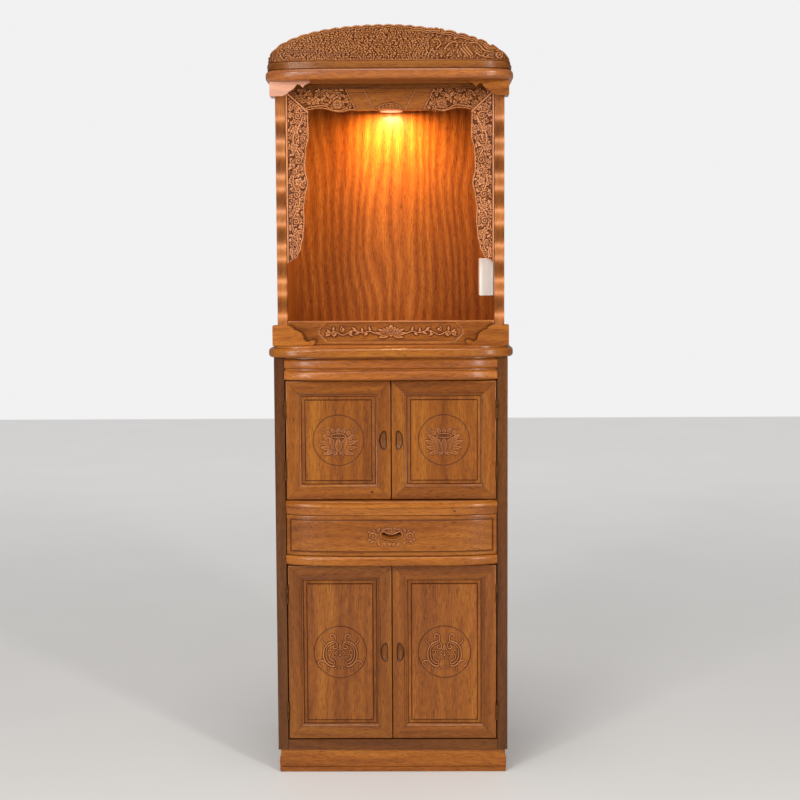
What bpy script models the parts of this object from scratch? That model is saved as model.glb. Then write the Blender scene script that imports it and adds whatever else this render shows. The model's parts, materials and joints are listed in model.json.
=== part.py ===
"""Household altar cabinet: two cupboards, a drawer and an open lit niche under a carved canopy."""

import math

import bmesh
import bpy
from mathutils import Matrix, Vector

# Driving sizes in metres. The front faces -Y, and the origin is on the floor under the middle.

# Clearance left between pieces that touch
GAP = 0.0003

# Table top, which sets the widest outline
TABLE_WIDTH = 0.618
TABLE_DEPTH = 0.430
TABLE_THICKNESS = 0.0229
TABLE_NOSE_RADIUS = 0.0075
PLAN_EXPONENT = 5.0
PLAN_SHOULDER = 0.115

# Carcass, which the table overhangs at both sides
TABLE_OVERHANG = 0.015
BODY_WIDTH = TABLE_WIDTH - 2 * TABLE_OVERHANG
STILE_WIDTH = 0.026
STILE_SETBACK = 0.038
BACK_THICKNESS = 0.009
SHELF_THICKNESS = 0.015
DOOR_THICKNESS = 0.022
SHELF_STANDOFF = 0.003
BOW = 0.028
BOW_EXPONENT = 4.0
SIDE_RECESS = 0.004
SIDE_BORDER = 0.050

# Heights of the stacked pieces, from the floor up
PLINTH_HEIGHT = 0.0585
PLINTH_INSET = 0.0025
PLINTH_WALL = 0.020
BOTTOM_RAIL_HEIGHT = 0.0270
LOWER_DOOR_HEIGHT = 0.450
DRAWER_RAIL_HEIGHT = 0.0252
DRAWER_HEIGHT = 0.1015
STEP_RAIL_HEIGHT = 0.0345
UPPER_DOOR_HEIGHT = 0.301
FRIEZE_RAIL_HEIGHT = 0.0284
FRIEZE_GROOVE = 0.0032
RAIL_NOSE_RADIUS = 0.0090
NICHE_BASE_THICKNESS = 0.0052
NICHE_HEIGHT = 0.6557
CANOPY_THICKNESS = 0.0267
CANOPY_NOSE_RADIUS = 0.0105
CROWN_HEIGHT = 0.105

# Doors
DOOR_CLEARANCE = 0.0025
DOOR_MEETING_GAP = 0.002
FRAME_WIDTH = 0.038
FRAME_BEAD = 0.008
FRAME_EDGE = 0.002
PANEL_SETBACK = 0.0025
PANEL_THICKNESS = 0.012
PANEL_BAND = 0.012
PANEL_BAND_DEPTH = 0.0022
UPPER_MEDALLION_RADIUS = 0.064
LOWER_MEDALLION_RADIUS = 0.067
MEDALLION_GROOVE = 0.0020
DOOR_PULL_WIDTH = 0.018
DOOR_PULL_HEIGHT = 0.050
DOOR_PULL_DEPTH = 0.011
DOOR_PULL_OFFSET = 0.0175
DOOR_PULL_BEND = 0.004

# Hinges
HINGE_LEAF = 0.0008
HINGE_LEAF_DEPTH = 0.017
HINGE_HEIGHT = 0.048
HINGE_INSET = 0.073
KNUCKLE_RADIUS = 0.0025

# Drawer
DRAWER_CLEARANCE = 0.0015
DRAWER_TRAY_WALL = 0.012
DRAWER_TRAY_FLOOR = 0.008
DRAWER_TRAY_HEIGHT = 0.078
DRAWER_TRAY_DEPTH = 0.300
DRAWER_BORDER = 0.0120
DRAWER_BORDER_DEPTH = 0.0025
DRAWER_PULL_WIDTH = 0.053
DRAWER_PULL_HEIGHT = 0.015
DRAWER_PULL_DEPTH = 0.014
DRAWER_PULL_BEND = 0.006
DRAWER_SURROUND_WIDTH = 0.120
DRAWER_SURROUND_HEIGHT = 0.050

# Niche, a step narrower than the carcass at each side
NICHE_STEP = 0.005
NICHE_WIDTH = BODY_WIDTH - 2 * NICHE_STEP
POST_WIDTH = 0.025
POST_DEPTH = 0.030
POST_WAVE = 0.003
POST_WAVE_PITCH = 0.088
POST_PLAIN_LENGTH = 0.070
NICHE_SETBACK = 0.103
NICHE_SIDE_THICKNESS = 0.020
NICHE_BACK_THICKNESS = 0.012
BASE_PLATE_SETBACK = 0.0115
GUARD_HEIGHT = 0.0604
GUARD_THICKNESS = 0.014
HEADER_HEIGHT = 0.0119
HEADER_THICKNESS = 0.018
VALANCE_HEIGHT = 0.0580
VALANCE_THICKNESS = 0.012
VALANCE_SETBACK = 0.002
DROP_WIDTH = 0.058
DROP_LENGTH = 0.436
# Width of a side drop at shares of its length, as a part of its width at the top
DROP_PROFILE = (
    (0.0, 1.0),
    (0.17, 1.02),
    (0.26, 0.89),
    (0.38, 0.86),
    (0.48, 0.97),
    (0.56, 0.86),
    (0.64, 0.78),
    (0.72, 0.805),
    (0.82, 0.75),
    (0.90, 0.64),
    (0.955, 0.50),
    (1.0, 0.09),
)

# Corner brackets
BRACKET_THICKNESS = 0.012
BRACKET_SETBACK = 0.045
EAVE_BRACKET_HEIGHT = 0.0355
EAVE_BRACKET_REACH = 0.101
FOOT_BRACKET_HEIGHT = 0.0505
FOOT_BRACKET_REACH = 0.108
# Corners of each bracket from its outer root to its tip, as shares of its reach and height,
# with the bulge of the arc that leads to each from the one before
FOOT_BRACKET_CORNERS = (
    (0.36, 1.0, 0.0),
    (0.50, 0.78, 0.035),
    (0.56, 0.75, 0.0),
    (0.72, 0.36, 0.045),
    (0.81, 0.17, -0.020),
    (0.89, 0.25, -0.015),
    (1.0, 0.17, 0.050),
    (0.935, 0.0, 0.0),
)
EAVE_BRACKET_CORNERS = (
    (0.30, 1.0, 0.0),
    (0.47, 0.70, 0.035),
    (0.52, 0.62, 0.0),
    (0.66, 0.24, 0.020),
    (0.74, 0.20, -0.030),
    (0.825, 0.44, 0.0),
    (0.89, 0.20, -0.015),
    (1.0, 0.0, 0.020),
)

# Crown
CROWN_SETBACK = 0.0030
CROWN_THICKNESS = 0.016
CROWN_BAND = 0.018
CROWN_ARCH_LEFT = 2.12
CROWN_ARCH_RIGHT = 1.70
CROWN_LOBES = 23
CROWN_LOBE_HEIGHT = 0.0028
CROWN_RIM = 0.006
CROWN_BOSS = 0.0035

# Lamp and switch box
LAMP_RADIUS = 0.031
LAMP_HEIGHT = 0.046
LAMP_LENS_RADIUS = 0.026
LAMP_LENS_THICKNESS = 0.004
LAMP_FROM_BACK = 0.083
SWITCH_BOX_WIDTH = 0.035
SWITCH_BOX_DEPTH = 0.060
SWITCH_BOX_HEIGHT = 0.096
SWITCH_BOX_ABOVE_BASE = 0.122

# Relief, sunk a little so that its widest line lies below the face
RELIEF = 0.003
RELIEF_SINK = 0.0004
STEM_RADIUS = 0.0022

# Number of straight steps along the bowed fronts
FRONT_STEPS = 12

# Places worked out from the sizes above
FRONT_Y = -TABLE_DEPTH / 2
BACK_Y = TABLE_DEPTH / 2
STILE_Y = FRONT_Y + STILE_SETBACK
SHELF_Y = STILE_Y + DOOR_THICKNESS + SHELF_STANDOFF
OPENING = BODY_WIDTH / 2 - STILE_WIDTH
PLINTH_TOP = PLINTH_HEIGHT
CARCASS_FOOT = PLINTH_TOP + GAP
BOTTOM_RAIL_TOP = CARCASS_FOOT + BOTTOM_RAIL_HEIGHT
LOWER_DOOR_FOOT = BOTTOM_RAIL_TOP + DOOR_CLEARANCE
LOWER_DOOR_TOP = LOWER_DOOR_FOOT + LOWER_DOOR_HEIGHT
DRAWER_RAIL_FOOT = LOWER_DOOR_TOP + DOOR_CLEARANCE
DRAWER_RAIL_TOP = DRAWER_RAIL_FOOT + DRAWER_RAIL_HEIGHT
DRAWER_FOOT = DRAWER_RAIL_TOP + DRAWER_CLEARANCE
DRAWER_TOP = DRAWER_FOOT + DRAWER_HEIGHT
STEP_RAIL_FOOT = DRAWER_TOP + DRAWER_CLEARANCE
STEP_RAIL_TOP = STEP_RAIL_FOOT + STEP_RAIL_HEIGHT
UPPER_DOOR_FOOT = STEP_RAIL_TOP + DOOR_CLEARANCE
UPPER_DOOR_TOP = UPPER_DOOR_FOOT + UPPER_DOOR_HEIGHT
FRIEZE_FOOT = UPPER_DOOR_TOP + DOOR_CLEARANCE
FRIEZE_MIDDLE = FRIEZE_FOOT + FRIEZE_RAIL_HEIGHT + GAP
CARCASS_TOP = FRIEZE_MIDDLE + FRIEZE_RAIL_HEIGHT
TABLE_FOOT = CARCASS_TOP + GAP
TABLE_TOP = TABLE_FOOT + TABLE_THICKNESS
BASE_PLATE_FOOT = TABLE_TOP + GAP
BASE_PLATE_TOP = BASE_PLATE_FOOT + NICHE_BASE_THICKNESS
NICHE_FOOT = BASE_PLATE_TOP + GAP
NICHE_TOP = NICHE_FOOT + NICHE_HEIGHT
CANOPY_FOOT = NICHE_TOP + GAP
CANOPY_TOP = CANOPY_FOOT + CANOPY_THICKNESS
CROWN_FOOT = CANOPY_TOP + GAP
NICHE_Y = FRONT_Y + NICHE_SETBACK
POST_BACK_Y = NICHE_Y + POST_DEPTH
POST_INNER = NICHE_WIDTH / 2 - POST_WIDTH
BRACKET_Y = FRONT_Y + BRACKET_SETBACK
BRACKET_OUTER = TABLE_WIDTH / 2 - BASE_PLATE_SETBACK - GAP
DOOR_WIDTH = OPENING - DOOR_CLEARANCE - DOOR_MEETING_GAP / 2


def clear_objects():
    """Start from an empty scene."""
    for thing in list(bpy.data.objects):
        bpy.data.objects.remove(thing, do_unlink=True)


def new_collection(name):
    """Make a collection and link it to the scene."""
    collection = bpy.data.collections.new(name)
    bpy.context.scene.collection.children.link(collection)
    return collection


def make_material(name, colour, roughness, metallic=0.0):
    """Make a plain material with the piece's own colour."""
    material = bpy.data.materials.new(name)
    material.use_nodes = True
    shader = material.node_tree.nodes["Principled BSDF"]
    shader.inputs["Base Color"].default_value = (*colour, 1.0)
    shader.inputs["Roughness"].default_value = roughness
    shader.inputs["Metallic"].default_value = metallic
    return material


clear_objects()
CABINET = new_collection("household_altar_cabinet")
CUTTERS = new_collection("cutters")

ROSEWOOD = ("rosewood", (0.42, 0.17, 0.055), 0.38, 0.0)
CARVED_ROSEWOOD = ("carved_rosewood", (0.40, 0.16, 0.055), 0.42, 0.0)
INNER_WOOD = ("inner_wood", (0.46, 0.24, 0.10), 0.60, 0.0)
HINGE_BRASS = ("hinge_brass", (0.55, 0.40, 0.18), 0.35, 1.0)
LAMP_WHITE = ("lamp_white", (0.82, 0.80, 0.76), 0.40, 0.0)
LAMP_GLOW = ("lamp_glow", (1.0, 0.85, 0.60), 0.30, 0.0)
SWITCH_PLASTIC = ("switch_plastic", (0.86, 0.83, 0.76), 0.35, 0.0)


def add_piece(name, bm, finish):
    """Turn a finished mesh into a named object with a material of its own."""
    bmesh.ops.recalc_face_normals(bm, faces=bm.faces)
    mesh = bpy.data.meshes.new(name)
    bm.to_mesh(mesh)
    bm.free()
    colour_name, colour, roughness, metallic = finish
    mesh.materials.append(make_material(name + "_" + colour_name, colour, roughness, metallic))
    piece = bpy.data.objects.new(name, mesh)
    CABINET.objects.link(piece)
    return piece


def add_cutter(name, bm):
    """Turn a mesh into a helper that cuts or joins and is never seen."""
    bmesh.ops.recalc_face_normals(bm, faces=bm.faces)
    mesh = bpy.data.meshes.new(name)
    bm.to_mesh(mesh)
    bm.free()
    cutter = bpy.data.objects.new(name, mesh)
    cutter.hide_render = True
    cutter.display_type = "WIRE"
    CUTTERS.objects.link(cutter)
    return cutter


def apply_boolean(piece, cutter, operation, overlapping=False):
    """Cut or join a piece with a helper."""
    boolean = piece.modifiers.new(operation.lower() + "_" + cutter.name, "BOOLEAN")
    boolean.operation = operation
    boolean.solver = "EXACT"
    boolean.use_self = overlapping
    boolean.object = cutter


def box_mesh(low, high):
    """A box between two corners."""
    bm = bmesh.new()
    size = [high[axis] - low[axis] for axis in range(3)]
    middle = [(high[axis] + low[axis]) / 2 for axis in range(3)]
    matrix = Matrix.Translation(middle) @ Matrix.Diagonal((*size, 1.0))
    bmesh.ops.create_cube(bm, size=1.0, matrix=matrix)
    return bm


def box(name, low, high, finish):
    """A plain board between two corners."""
    return add_piece(name, box_mesh(low, high), finish)


def loft(rings):
    """A closed solid through rings of equal point counts, stacked from foot to top."""
    bm = bmesh.new()
    loops = [[bm.verts.new(point) for point in ring] for ring in rings]
    count = len(loops[0])
    for lower, upper in zip(loops, loops[1:]):
        for index in range(count):
            following = (index + 1) % count
            bm.faces.new((lower[index], lower[following], upper[following], upper[index]))
    bm.faces.new(list(reversed(loops[0])))
    bm.faces.new(loops[-1])
    return bm


def outline_mesh(loops, front_y, thickness):
    """A flat board cut to an outline of (x, z) points, with any further loops as holes."""
    curve = bpy.data.curves.new("outline", "CURVE")
    curve.dimensions = "2D"
    curve.fill_mode = "BOTH"
    curve.extrude = thickness / 2
    for points in loops:
        spline = curve.splines.new("POLY")
        spline.points.add(len(points) - 1)
        for point, (x, z) in zip(spline.points, points):
            point.co = (x, z, 0.0, 1.0)
        spline.use_cyclic_u = True
    guide = bpy.data.objects.new("outline", curve)
    CUTTERS.objects.link(guide)
    bpy.context.view_layer.update()
    filled = bpy.data.meshes.new_from_object(guide.evaluated_get(bpy.context.evaluated_depsgraph_get()))
    bm = bmesh.new()
    bm.from_mesh(filled)
    bmesh.ops.remove_doubles(bm, verts=bm.verts, dist=1e-6)
    upright = Matrix.Translation((0.0, front_y + thickness / 2, 0.0)) @ Matrix.Rotation(math.pi / 2, 4, "X")
    bmesh.ops.transform(bm, matrix=upright, verts=bm.verts)
    bpy.data.objects.remove(guide, do_unlink=True)
    bpy.data.curves.remove(curve)
    bpy.data.meshes.remove(filled)
    return bm


def rounded_nose(foot, top, radius, steps=2):
    """Heights and insets of a nose that is flat in the middle and round above and below."""
    levels = []
    for step in range(steps + 1):
        angle = math.pi / 2 * (1 - step / steps)
        levels.append((foot + radius * (1 - math.sin(angle)), radius * (1 - math.cos(angle))))
    for step in range(steps + 1):
        angle = math.pi / 2 * step / steps
        levels.append((top - radius * (1 - math.sin(angle)), radius * (1 - math.cos(angle))))
    return levels


def bowed_front(x, half_width, bow):
    """How far a bowed front stands forward of its ends at x."""
    share = min(1.0, abs(x) / half_width)
    return bow * (1 - share ** BOW_EXPONENT)


def bowed_ring(z, half_width, ends_y, bow, back_y):
    """The plan of a bowed rail at one height: curved front, straight back."""
    ring = []
    for step in range(FRONT_STEPS + 1):
        angle = math.pi * (step / FRONT_STEPS - 0.5)
        x = half_width * math.sin(angle) * 0.5 + half_width * (2 * step / FRONT_STEPS - 1) * 0.5
        ring.append((x, ends_y - bowed_front(x, half_width, bow), z))
    ring.append((half_width, back_y, z))
    ring.append((-half_width, back_y, z))
    return ring


def bowed_rail(name, levels, finish):
    """A rail between the stiles whose nose follows the bow, from (z, inset) levels."""
    half_width = OPENING - GAP
    ends_y = STILE_Y - FRAME_EDGE
    rings = [bowed_ring(z, half_width, ends_y + inset, BOW, SHELF_Y - GAP) for z, inset in levels]
    return add_piece(name, loft(rings), finish)


def slab_front(x, half_width, front_y):
    """Front edge of the table's plan at x: nearly straight, turning round at the corners."""
    share = min(1.0, abs(x) / half_width)
    reach = (1 - share ** PLAN_EXPONENT) ** (1 / PLAN_EXPONENT)
    return front_y + PLAN_SHOULDER * (1 - reach)


def slab_ring(z, inset, back_y=BACK_Y):
    """The plan of the table or canopy at one height, drawn in by an inset at the front and sides."""
    half_width = TABLE_WIDTH / 2 - inset
    front_y = FRONT_Y + inset
    ring = []
    steps = FRONT_STEPS + 6
    for step in range(steps + 1):
        x = half_width * math.sin(math.pi * (step / steps - 0.5))
        ring.append((x, slab_front(x, half_width, front_y), z))
    ring.append((half_width, back_y, z))
    ring.append((-half_width, back_y, z))
    return ring


def slab(name, levels, finish):
    """A slab with rounded front corners, from (z, inset) levels."""
    return add_piece(name, loft([slab_ring(z, inset) for z, inset in levels]), finish)


def spindle(bm, x, y, z, angle, length, width, height):
    """A raised petal or leaf: a pointed blob lying on the face, turned by an angle in degrees."""
    turn = math.radians(angle)
    along = Vector((math.cos(turn), 0.0, math.sin(turn))) * (length / 2)
    across = Vector((-math.sin(turn), 0.0, math.cos(turn))) * (width / 2)
    out = Vector((0.0, -height, 0.0))
    matrix = Matrix((across, out, along)).transposed().to_4x4()
    matrix.translation = (x, y + RELIEF_SINK, z)
    bmesh.ops.create_uvsphere(bm, u_segments=6, v_segments=4, radius=1.0, matrix=matrix)


def stem(bm, points, radius, taper=0.35):
    """A raised scroll or vine: a four-sided tube along points, thinner towards its end."""
    curve = bpy.data.curves.new("stem", "CURVE")
    curve.dimensions = "3D"
    curve.bevel_depth = radius
    curve.bevel_resolution = 0
    curve.use_fill_caps = True
    spline = curve.splines.new("POLY")
    spline.points.add(len(points) - 1)
    last = len(points) - 1
    for index, (point, (x, y, z)) in enumerate(zip(spline.points, points)):
        point.co = (x, y + RELIEF_SINK, z, 1.0)
        point.radius = 1.0 - (1.0 - taper) * index / last
    guide = bpy.data.objects.new("stem", curve)
    CUTTERS.objects.link(guide)
    bpy.context.view_layer.update()
    tube = bpy.data.meshes.new_from_object(guide.evaluated_get(bpy.context.evaluated_depsgraph_get()))
    joined = bmesh.new()
    joined.from_mesh(tube)
    bmesh.ops.remove_doubles(joined, verts=joined.verts, dist=1e-6)
    bmesh.ops.recalc_face_normals(joined, faces=joined.faces)
    joined.to_mesh(tube)
    joined.free()
    bm.from_mesh(tube)
    bpy.data.objects.remove(guide, do_unlink=True)
    bpy.data.curves.remove(curve)
    bpy.data.meshes.remove(tube)


def spiral(x, y, z, radius, start, turns, steps):
    """Points of a scroll that winds in from a radius, clockwise for negative turns."""
    points = []
    for step in range(steps + 1):
        share = step / steps
        angle = math.radians(start) + 2 * math.pi * turns * share
        reach = radius * (1 - 0.72 * share)
        points.append((x + reach * math.cos(angle), y, z + reach * math.sin(angle)))
    return points


def flower(bm, x, y, z, radius, petals, height):
    """A round blossom: petals about a raised heart."""
    for index in range(petals):
        angle = 90 + 360 * index / petals
        reach = radius * 0.62
        px = x + reach * math.cos(math.radians(angle))
        pz = z + reach * math.sin(math.radians(angle))
        spindle(bm, px, y, pz, angle, radius * 0.9, radius * 0.62, height)


def lotus(bm, x, y, z, size, height):
    """A lotus seen from the side: petals fanned up from its foot, and two leaves below."""
    for angle in (25, 58, 90, 122, 155):
        reach = size * 0.42
        px = x + reach * math.cos(math.radians(angle))
        pz = z - size * 0.16 + reach * math.sin(math.radians(angle))
        spindle(bm, px, y, pz, angle, size * 0.62, size * 0.30, height)
    for side in (-1, 1):
        spindle(bm, x + side * size * 0.46, y, z - size * 0.34, 90 - side * 62, size * 0.60, size * 0.22, height)


def carve(piece, bm):
    """Raise relief shapes out of a piece."""
    shapes = add_cutter("relief_of_" + piece.name, bm)
    apply_boolean(piece, shapes, "UNION", overlapping=True)


def ellipse(x, z, half_width, half_height, steps, bend=0.0, bend_up=0.0):
    """Points of an ellipse that can be bent like a bean, sideways or upwards."""
    points = []
    for step in range(steps):
        angle = 2 * math.pi * step / steps
        across = math.cos(angle)
        up = math.sin(angle)
        shift = bend * (1 - up * up)
        lift = bend_up * (1 - across * across)
        points.append((x + half_width * across + shift, z + half_height * up + lift))
    return points


def build_plinth():
    """Moulded ring under the carcass, open below."""
    half = BODY_WIDTH / 2
    profile = (
        (0.0, 0.0015),
        (0.2, 0.0010),
        (0.22, 0.0035),
        (0.25, 0.0010),
        (0.42, 0.0),
        (0.64, 0.0008),
        (0.76, 0.0030),
        (1.0, 0.0035),
    )
    rings = []
    for share, cove in profile:
        z = PLINTH_HEIGHT * share
        edge = PLINTH_INSET + cove
        front = STILE_Y + edge
        rings.append([
            (-half + edge, front, z),
            (half - edge, front, z),
            (half - edge, BACK_Y, z),
            (-half + edge, BACK_Y, z),
        ])
    plinth = add_piece("plinth", loft(rings), ROSEWOOD)
    wall = PLINTH_INSET + PLINTH_WALL
    hollow = box_mesh(
        (-half + wall, STILE_Y + wall, -PLINTH_WALL),
        (half - wall, BACK_Y - PLINTH_WALL, PLINTH_HEIGHT + PLINTH_WALL),
    )
    apply_boolean(plinth, add_cutter("plinth_hollow", hollow), "DIFFERENCE")


def build_sides():
    """Two side boards whose front edges are the stiles, each with a sunk field outside."""
    for side, word in ((-1, "left"), (1, "right")):
        inner = side * OPENING
        outer = side * BODY_WIDTH / 2
        board = box(
            "side_" + word,
            (min(inner, outer), STILE_Y, CARCASS_FOOT),
            (max(inner, outer), BACK_Y, CARCASS_TOP),
            ROSEWOOD,
        )
        field_x = outer - side * SIDE_RECESS
        past_x = outer + side * SIDE_RECESS
        field = box_mesh(
            (min(field_x, past_x), STILE_Y + SIDE_BORDER, CARCASS_FOOT + SIDE_BORDER),
            (max(field_x, past_x), BACK_Y - SIDE_BORDER, CARCASS_TOP - SIDE_BORDER),
        )
        apply_boolean(board, add_cutter("side_field_" + word, field), "DIFFERENCE")


def build_carcass():
    """Back board, floor, shelves and the plain bottom rail."""
    edge = OPENING - GAP
    inner_back = BACK_Y - BACK_THICKNESS
    box("back_board", (-edge, inner_back, CARCASS_FOOT), (edge, BACK_Y, CARCASS_TOP), INNER_WOOD)
    box("bottom_rail", (-edge, STILE_Y, CARCASS_FOOT), (edge, SHELF_Y - GAP, BOTTOM_RAIL_TOP), ROSEWOOD)
    shelves = (
        ("cupboard_floor", BOTTOM_RAIL_TOP),
        ("shelf_under_drawer", DRAWER_RAIL_TOP),
        ("shelf_over_drawer", STEP_RAIL_TOP),
    )
    for name, top in shelves:
        box(name, (-edge, SHELF_Y, top - SHELF_THICKNESS), (edge, inner_back - GAP, top), INNER_WOOD)


def build_rails():
    """The bowed rails above and below the drawer, and the two under the table."""
    bowed_rail("drawer_rail", rounded_nose(DRAWER_RAIL_FOOT, DRAWER_RAIL_TOP, RAIL_NOSE_RADIUS), ROSEWOOD)
    top = STEP_RAIL_TOP
    levels = (
        (STEP_RAIL_FOOT, 0.0065),
        (top - 0.0195, 0.0045),
        (top - 0.0165, 0.0045),
        (top - 0.0155, 0.0010),
        (top - 0.0125, 0.0),
        (top - 0.0075, 0.0010),
        (top - 0.0055, 0.0050),
        (top - 0.0045, 0.0080),
        (top - 0.0020, 0.0075),
        (top, 0.0100),
    )
    bowed_rail("step_rail", levels, ROSEWOOD)
    for name, foot in (("frieze_rail_lower", FRIEZE_FOOT), ("frieze_rail_upper", FRIEZE_MIDDLE)):
        nose_top = foot + FRIEZE_RAIL_HEIGHT - FRIEZE_GROOVE
        levels = rounded_nose(foot, nose_top, RAIL_NOSE_RADIUS)
        levels.append((foot + FRIEZE_RAIL_HEIGHT, RAIL_NOSE_RADIUS))
        bowed_rail(name, levels, ROSEWOOD)


def build_table():
    """Table top with its rounded nose, and the thin plate that carries the niche."""
    slab("table_top", rounded_nose(TABLE_FOOT, TABLE_TOP, TABLE_NOSE_RADIUS), ROSEWOOD)
    edge = BASE_PLATE_SETBACK
    levels = (
        (BASE_PLATE_FOOT, edge),
        (BASE_PLATE_TOP - 0.001, edge),
        (BASE_PLATE_TOP, edge + 0.001),
    )
    slab("niche_base", levels, ROSEWOOD)


def board_with_insets(low, high, insets):
    """A board whose front face steps in and out by (width, depth) pairs, mitred at its corners."""
    bm = box_mesh(low, high)
    front = min(bm.faces, key=lambda face: face.calc_center_median().y)
    for width, depth in insets:
        bmesh.ops.inset_region(bm, faces=[front], thickness=width, depth=depth)
    return bm


def hinge_mesh(low_z, knuckle_low, knuckle_high, leaf_x, axis_x, axis_y):
    """One hinge leaf with the knuckles that belong to it."""
    leaf_front = STILE_Y - GAP
    low = (min(leaf_x), leaf_front, low_z)
    high = (max(leaf_x), leaf_front + HINGE_LEAF_DEPTH, low_z + HINGE_HEIGHT)
    leaf = box_mesh(low, high)
    web = box_mesh((min(leaf_x), axis_y, knuckle_low), (max(leaf_x), leaf_front + HINGE_LEAF, knuckle_high))
    pin = bmesh.new()
    bmesh.ops.create_cone(
        pin,
        cap_ends=True,
        segments=8,
        radius1=KNUCKLE_RADIUS,
        radius2=KNUCKLE_RADIUS,
        depth=knuckle_high - knuckle_low,
        matrix=Matrix.Translation((axis_x, axis_y, (knuckle_low + knuckle_high) / 2)),
    )
    return leaf, web, pin


def add_hinge_leaf(name, side, moving, centre_z, axis):
    """A brass leaf: the fixed one on the stile has the upper knuckle, the moving one the lower."""
    axis_x, axis_y = axis
    inward = -side
    start = GAP / 2
    if moving:
        leaf_x = (axis_x + inward * start, axis_x + inward * (start + HINGE_LEAF))
        knuckles = (centre_z - HINGE_HEIGHT / 2, centre_z - GAP / 2)
    else:
        leaf_x = (axis_x - inward * start, axis_x - inward * (start + HINGE_LEAF))
        knuckles = (centre_z + GAP / 2, centre_z + HINGE_HEIGHT / 2)
    low_z = centre_z - HINGE_HEIGHT / 2
    leaf, web, pin = hinge_mesh(low_z, knuckles[0], knuckles[1], leaf_x, axis_x, axis_y)
    piece = add_piece(name, leaf, HINGE_BRASS)
    apply_boolean(piece, add_cutter(name + "_web", web), "UNION")
    apply_boolean(piece, add_cutter(name + "_knuckle", pin), "UNION")
    return piece


def carve_medallion(panel, face_y, x, z, radius, kind):
    """A round medallion: a groove about it, and a lotus or two facing scrolls in low relief."""
    groove = outline_mesh(
        [
            ellipse(x, z, radius, radius, 18),
            ellipse(x, z, radius - MEDALLION_GROOVE, radius - MEDALLION_GROOVE, 18),
        ],
        face_y - RELIEF,
        RELIEF + 0.0015,
    )
    apply_boolean(panel, add_cutter("groove_of_" + panel.name, groove), "DIFFERENCE")
    bm = bmesh.new()
    if kind == "lotus":
        lotus(bm, x, face_y + 0.0002, z, radius * 1.15, RELIEF)
    else:
        for side in (-1, 1):
            start = 90 - side * 130
            curl = spiral(x + side * radius * 0.40, face_y, z + radius * 0.26, radius * 0.34, start, side * 0.9, 7)
            stem(bm, curl, STEM_RADIUS * 1.5)
            spindle(bm, x + side * radius * 0.42, face_y, z - radius * 0.42, 90 - side * 35, radius * 0.62, radius * 0.2, RELIEF)
        spindle(bm, x, face_y, z - radius * 0.06, 90, radius * 0.6, radius * 0.26, RELIEF)
    carve(panel, bm)


def build_door(name, side, foot, height, kind, radius):
    """One door on its hinges: mitred frame, raised panel with its medallion, two leaves."""
    axis_x = side * (OPENING - DOOR_CLEARANCE / 2)
    axis_y = STILE_Y - KNUCKLE_RADIUS - 2 * GAP
    hinge_axis = bpy.data.objects.new(name + "_axis", None)
    hinge_axis.location = (axis_x, axis_y, foot)
    CABINET.objects.link(hinge_axis)

    outer = side * (OPENING - DOOR_CLEARANCE)
    inner = outer - side * DOOR_WIDTH
    left = min(inner, outer)
    right = max(inner, outer)
    top = foot + height
    flat = FRAME_WIDTH - FRAME_EDGE - FRAME_BEAD
    frame_mesh = board_with_insets(
        (left, STILE_Y + FRAME_EDGE / 2, foot),
        (right, STILE_Y + DOOR_THICKNESS, top),
        (
            (FRAME_EDGE, FRAME_EDGE / 2),
            (flat, 0.0),
            (FRAME_BEAD * 0.2, -0.0010),
            (FRAME_BEAD * 0.3, 0.0006),
            (FRAME_BEAD * 0.7, -0.0040),
        ),
    )
    frame = add_piece(name + "_frame", frame_mesh, ROSEWOOD)
    opening = box_mesh(
        (left + FRAME_WIDTH, STILE_Y - FRAME_WIDTH, foot + FRAME_WIDTH),
        (right - FRAME_WIDTH, STILE_Y + FRAME_WIDTH, top - FRAME_WIDTH),
    )
    apply_boolean(frame, add_cutter("opening_of_" + name, opening), "DIFFERENCE")
    pull_x = inner + side * DOOR_PULL_OFFSET
    pull_z = (foot + top) / 2
    pull = outline_mesh(
        [ellipse(pull_x - side * DOOR_PULL_BEND / 2, pull_z, DOOR_PULL_WIDTH / 2,
                 DOOR_PULL_HEIGHT / 2, 14, bend=side * DOOR_PULL_BEND)],
        STILE_Y - DOOR_PULL_DEPTH,
        2 * DOOR_PULL_DEPTH,
    )
    apply_boolean(frame, add_cutter("pull_of_" + name, pull), "DIFFERENCE")

    fit = FRAME_WIDTH + GAP
    face_y = STILE_Y + PANEL_SETBACK
    panel_mesh = board_with_insets(
        (left + fit, face_y + PANEL_BAND_DEPTH, foot + fit),
        (right - fit, face_y + PANEL_THICKNESS, top - fit),
        (
            (PANEL_BAND * 0.85, 0.0),
            (PANEL_BAND * 0.15, PANEL_BAND_DEPTH),
        ),
    )
    panel = add_piece(name + "_panel", panel_mesh, CARVED_ROSEWOOD)
    carve_medallion(panel, face_y, (left + right) / 2, (foot + top) / 2, radius, kind)

    pieces = [frame, panel]
    for word, centre in (("low", foot + HINGE_INSET), ("high", top - HINGE_INSET)):
        leaf_name = name + "_hinge_" + word
        pieces.append(add_hinge_leaf(leaf_name, side, True, centre, (axis_x, axis_y)))
        add_hinge_leaf(leaf_name.replace("door", "stile"), side, False, centre, (axis_x, axis_y))
    for piece in pieces:
        piece.parent = hinge_axis
        piece.matrix_parent_inverse = Matrix.Translation(hinge_axis.location).inverted()


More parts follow.
